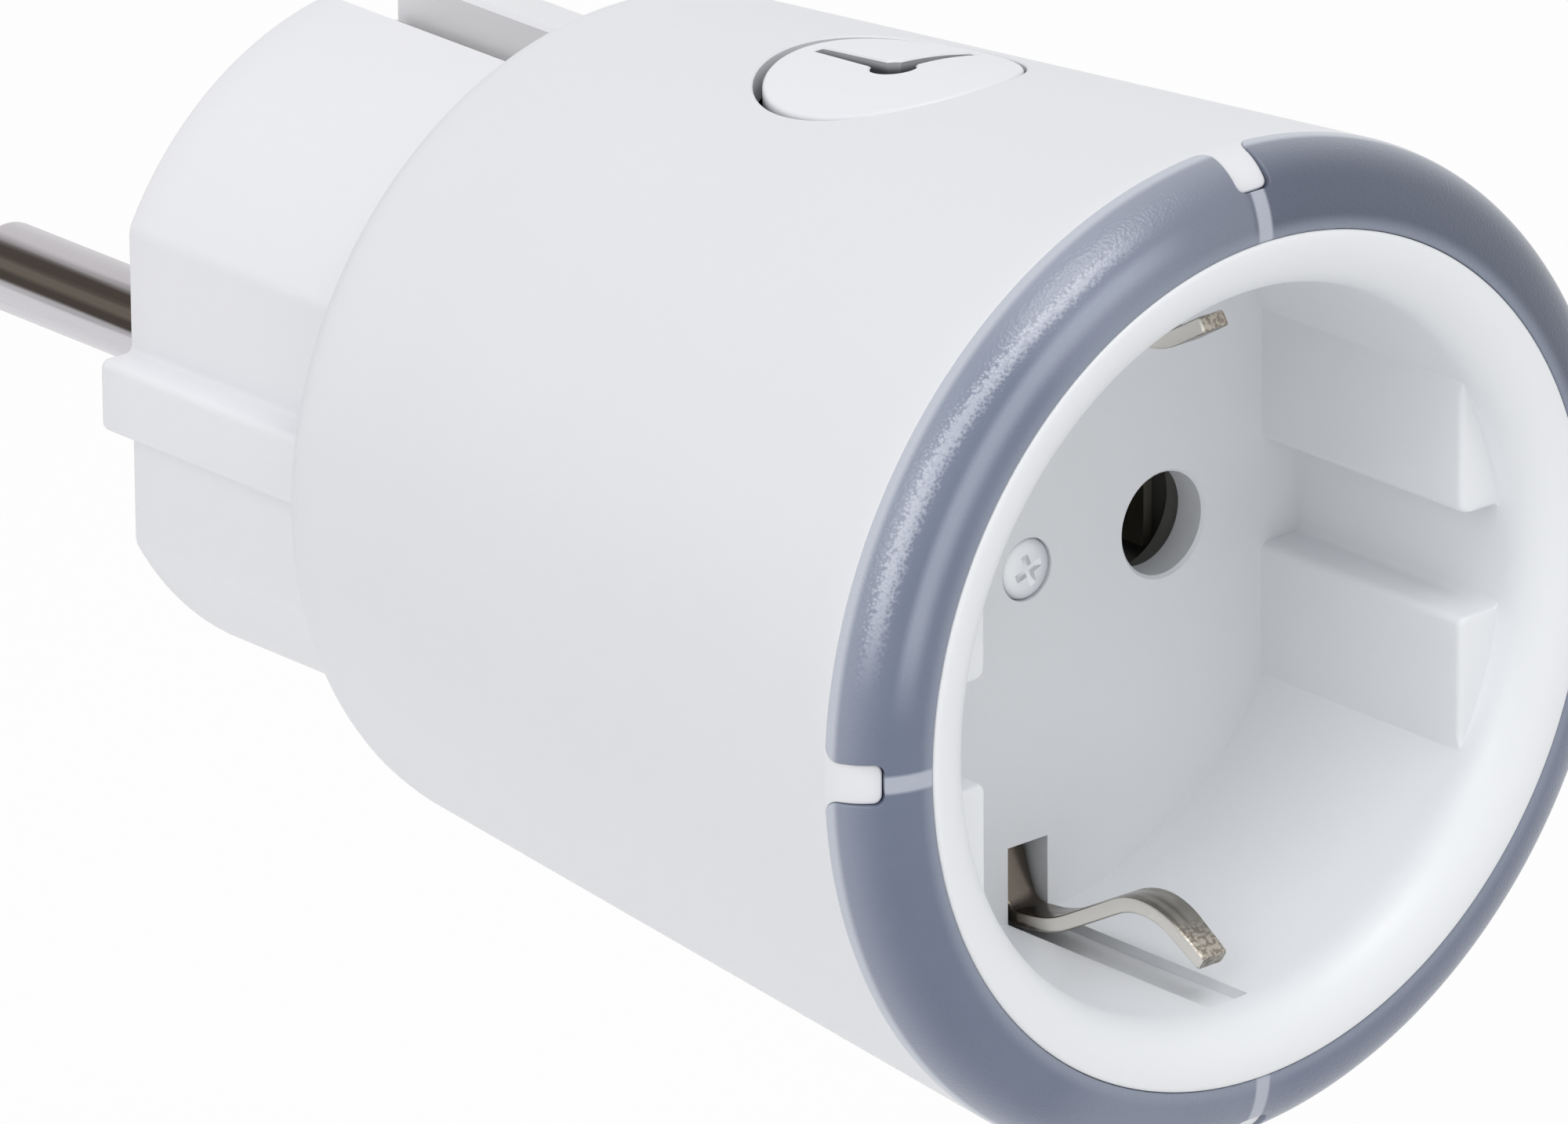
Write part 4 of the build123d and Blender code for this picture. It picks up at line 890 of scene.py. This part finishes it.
def clipPatches(cfg, side):
    # rounded strip section carried along a bent line in the middle plane
    line = roundedPath(cfg["route"], cfg["bends"], 10) * (1, side)
    along = unit(np.gradient(line, axis=0))
    normal = np.stack([-along[:, 1], along[:, 0]], 1)
    h, t, e = cfg["half"], cfg["thick"] / 2, cfg["edge"]
    section = fourQuarters(np.concatenate([[(h, 0)], np.stack(
        [h - e + e * np.cos(sweepAngle(0, 90, 5)), t - e + e * np.sin(sweepAngle(0, 90, 5))], 1), [(0, t)]]))
    taper = 1 + (cfg["tipHalf"] / h - 1) * np.clip((cfg["taperY"] - line[:, 0]) / cfg["taperLength"], 0, 1)
    rows = [np.stack([section[:, 0] * w, p[0] + n[0] * section[:, 1], p[1] + n[1] * section[:, 1]], 1)
            for p, n, w in zip(line, normal, taper)]
    start, end = (np.tile(rows[i].mean(0), (len(section), 1)) for i in (0, -1))
    step = np.array([0, *along[-1]]) * e * cfg["endRound"]
    last = end + (rows[-1] - end) * (1 - cfg["endRound"] * e / h) + step
    return [gridPatch([start] + rows + [last, end + step])]


screw = {"radius": 1.65, "seatY": -50.95, "height": 0.75, "domeHeight": 0.45, "domePower": 0.7, "shank": 1.0,
         "end": -32.9, "crossHalf": 0.2, "crossReach": 0.9, "crossDepth": 0.22, "crossRise": 0.2, "turn": 20.0,
         "crossMouth": (0.1, 0.05), "crossTaper": (0.6, 0.7)}


def screwPatches(cfg):
    # low domed head on a plain shank: the radius runs as a power of the sine, the height as one less the cosine
    top = cfg["seatY"] - cfg["height"]
    dome = [(cfg["radius"] * math.sin(t) ** cfg["domePower"], top + cfg["domeHeight"] * (1 - math.cos(t)))
            for t in sweepAngle(0, 90, 12)]
    return [turnedPatch(dome + [(cfg["radius"], cfg["seatY"]), (cfg["shank"], cfg["seatY"]), (cfg["shank"], cfg["end"]),
                                (0, cfg["end"])], 64)]


def screwCuts(cfg):
    # cross recess: two bars, narrower at the bottom
    top = cfg["seatY"] - cfg["height"]
    groups = []
    for quarter in (0, 90):
        t = math.radians(cfg["turn"] + quarter)
        turn = np.array([(math.cos(t), math.sin(t)), (-math.sin(t), math.cos(t))])
        size = np.array([cfg["crossReach"], cfg["crossHalf"]])
        box = np.array([(-1, -1), (1, -1), (1, 1), (-1, 1)])
        mouth, bottom, zero = box * (size + cfg["crossMouth"]) @ turn, box * size * cfg["crossTaper"] @ turn, box * 0.0
        groups.append([gridPatch([atDepth(plan, top + y) for plan, y in (
            (zero, -cfg["crossRise"]), (mouth, -cfg["crossRise"]), (mouth, 0.0), (bottom, cfg["crossDepth"]),
            (zero, cfg["crossDepth"]))])])
    return groups


hole = circleOutline(button["radius"] + button["holeGap"], 160)
addPiece("housingShell", housingPatches(housing), "housing_shell",
         [[sunkCutter(hole, button["holeDepth"], button["holeChamfer"], button["holeY"])]])
marks = [(circleOutline(button["hub"], 48), 0.0), (handOutline(button, False), 0.02),
         (handOutline(button, True), 0.04)]   # outline, and mm off its depth so that no two floors share a plane
handCuts = [[sunkCutter(outline, button["handDepth"] - less, button["handEdge"], button["y"], button["handUnder"])]
            for outline, less in marks]
addPiece("buttonCap", buttonPatches(button), "button_cap", handCuts)
addPiece("socketInsert", socketPatches(socket), "socket_insert", [socketCuts(socket)])
addPiece("lightRing", ringPatches(ring), "light_ring")
addPiece("plugBody", plugPatches(plug), "plug_base", plugCuts(plug))
for side, word in ((1, "right"), (-1, "left")):
    addPiece(f"plugPin.{word}", pinPatches(pin, side), f"plug_pin_{word}")
for side, word in ((1, "top"), (-1, "bottom")):
    addPiece(f"earthClip.{word}", clipPatches(clip, side), f"earth_clip_{word}")
addPiece("centreScrew", screwPatches(screw), "centre_screw", screwCuts(screw))
print("shapes done")


camera = {
    "azimuth": -41.694, "elevation": 21.247, "roll": -0.4135,   # degrees
    "place": (-553.07, -653.84, 318.42), "lens": 396.0,          # mm
}
stage = {"world": 0.6, "floorHeight": -0.075, "floorSize": 6.0, "floorWhite": 0.95, "floorSeen": 0.9}   # metres
lamps = {   # direction as azimuth and elevation in degrees, distance and size in metres, power in watts
    "softKey": (-70, 30, 1.9, 1.1, 7.0), "softTop": (-6, 64, 1.9, 1.1, 11.5), "softFill": (48, 12, 1.9, 1.2, 0.3),
}


def linkObject(name, data, columns, place):
    # object whose axes are the columns, at a place in metres
    obj = bpy.data.objects.new(name, data)
    bpy.context.scene.collection.objects.link(obj)
    matrix = np.eye(4)
    matrix[:3, :3] = np.stack(columns, 1)
    matrix[:3, 3] = place
    obj.matrix_world = Matrix(matrix.tolist())
    return obj


def addCamera(cfg):
    # looks along the azimuth and down by the elevation, then turns by the roll
    a, e, r = (math.radians(cfg[k]) for k in ("azimuth", "elevation", "roll"))
    forward = np.array([-math.sin(a) * math.cos(e), math.cos(a) * math.cos(e), -math.sin(e)])
    right = np.array([math.cos(a), math.sin(a), 0.0])
    up = np.cross(right, forward)
    right, up = math.cos(r) * right + math.sin(r) * up, math.cos(r) * up - math.sin(r) * right
    data = bpy.data.cameras.new("camera")
    data.sensor_width = 36.0
    data.lens = cfg["lens"]
    data.clip_start, data.clip_end = 0.05, 20.0
    bpy.context.scene.camera = linkObject("camera", data, (right, up, -forward), np.array(cfg["place"]) * mm)


def addLamp(name, azimuth, elevation, distance, size, power):
    # round soft box that faces the object from a direction in front of it
    a, e = math.radians(azimuth), math.radians(elevation)
    back = np.array([math.sin(a) * math.cos(e), -math.cos(a) * math.cos(e), math.sin(e)])
    side = unit(np.cross([0, 0, 1], back))
    data = bpy.data.lights.new(name, "AREA")
    data.shape = "DISK"
    data.size = size
    data.energy = power
    linkObject(name, data, (side, np.cross(back, side), back), back * distance + np.array([0, -0.03, 0]))


def whiteSeen(tree):
    # one where a ray comes from the camera, a gloss or a clear piece, which all see a white background
    path = addNode(tree, "LightPath").outputs
    first = addNode(tree, "Math", {"operation": "MAXIMUM"},
                    {0: path["Is Camera Ray"], 1: path["Is Glossy Ray"]})
    return addNode(tree, "Math", {"operation": "MAXIMUM"},
                   {0: first.outputs[0], 1: path["Is Transmission Ray"]}).outputs[0]


def addWorld():
    # even soft light, and white where it is seen
    world = bpy.data.worlds.new("world")
    bpy.context.scene.world = world
    world.use_nodes = True
    tree = world.node_tree
    tree.nodes.clear()
    soft = addNode(tree, "Background", inputs={"Color": (1, 1, 1, 1), "Strength": stage["world"]})
    white = addNode(tree, "Background", inputs={"Color": (1, 1, 1, 1), "Strength": 1.0})
    mix = addNode(tree, "MixShader", inputs={0: whiteSeen(tree), 1: soft.outputs[0], 2: white.outputs[0]})
    addNode(tree, "OutputWorld", inputs={"Surface": mix.outputs[0]})


def addFloor(cfg):
    # matt white sheet that is seen nearly white, and keeps a tenth of the object's shadow
    mesh = bpy.data.meshes.new("floor")
    half, height = cfg["floorSize"] / 2, cfg["floorHeight"]
    mesh.from_pydata([(-half, -half, height), (half, -half, height), (half, half, height),
                      (-half, half, height)], [], [(0, 1, 2, 3)])
    obj = bpy.data.objects.new("floor", mesh)
    bpy.context.scene.collection.objects.link(obj)
    material = bpy.data.materials.new("paleFloor")
    material.use_nodes = True
    tree = material.node_tree
    shader = tree.nodes["Principled BSDF"]
    shader.inputs["Base Color"].default_value = (*[cfg["floorWhite"]] * 3, 1)
    shader.inputs["Roughness"].default_value = 0.9
    glow = addNode(tree, "Emission", inputs={"Color": (1, 1, 1, 1), "Strength": 1.0})
    share = addNode(tree, "Math", {"operation": "MULTIPLY"}, {0: whiteSeen(tree), 1: cfg["floorSeen"]})
    mix = addNode(tree, "MixShader", inputs={0: share.outputs[0], 1: shader.outputs[0], 2: glow.outputs[0]})
    tree.links.new(mix.outputs[0], tree.nodes["Material Output"].inputs["Surface"])
    mesh.materials.append(material)


addCamera(camera)
addWorld()
addFloor(stage)
for name, lamp in lamps.items():
    addLamp(name, *lamp)
bpy.context.scene.view_settings.view_transform = "Standard"
print("camera, light and floor done")
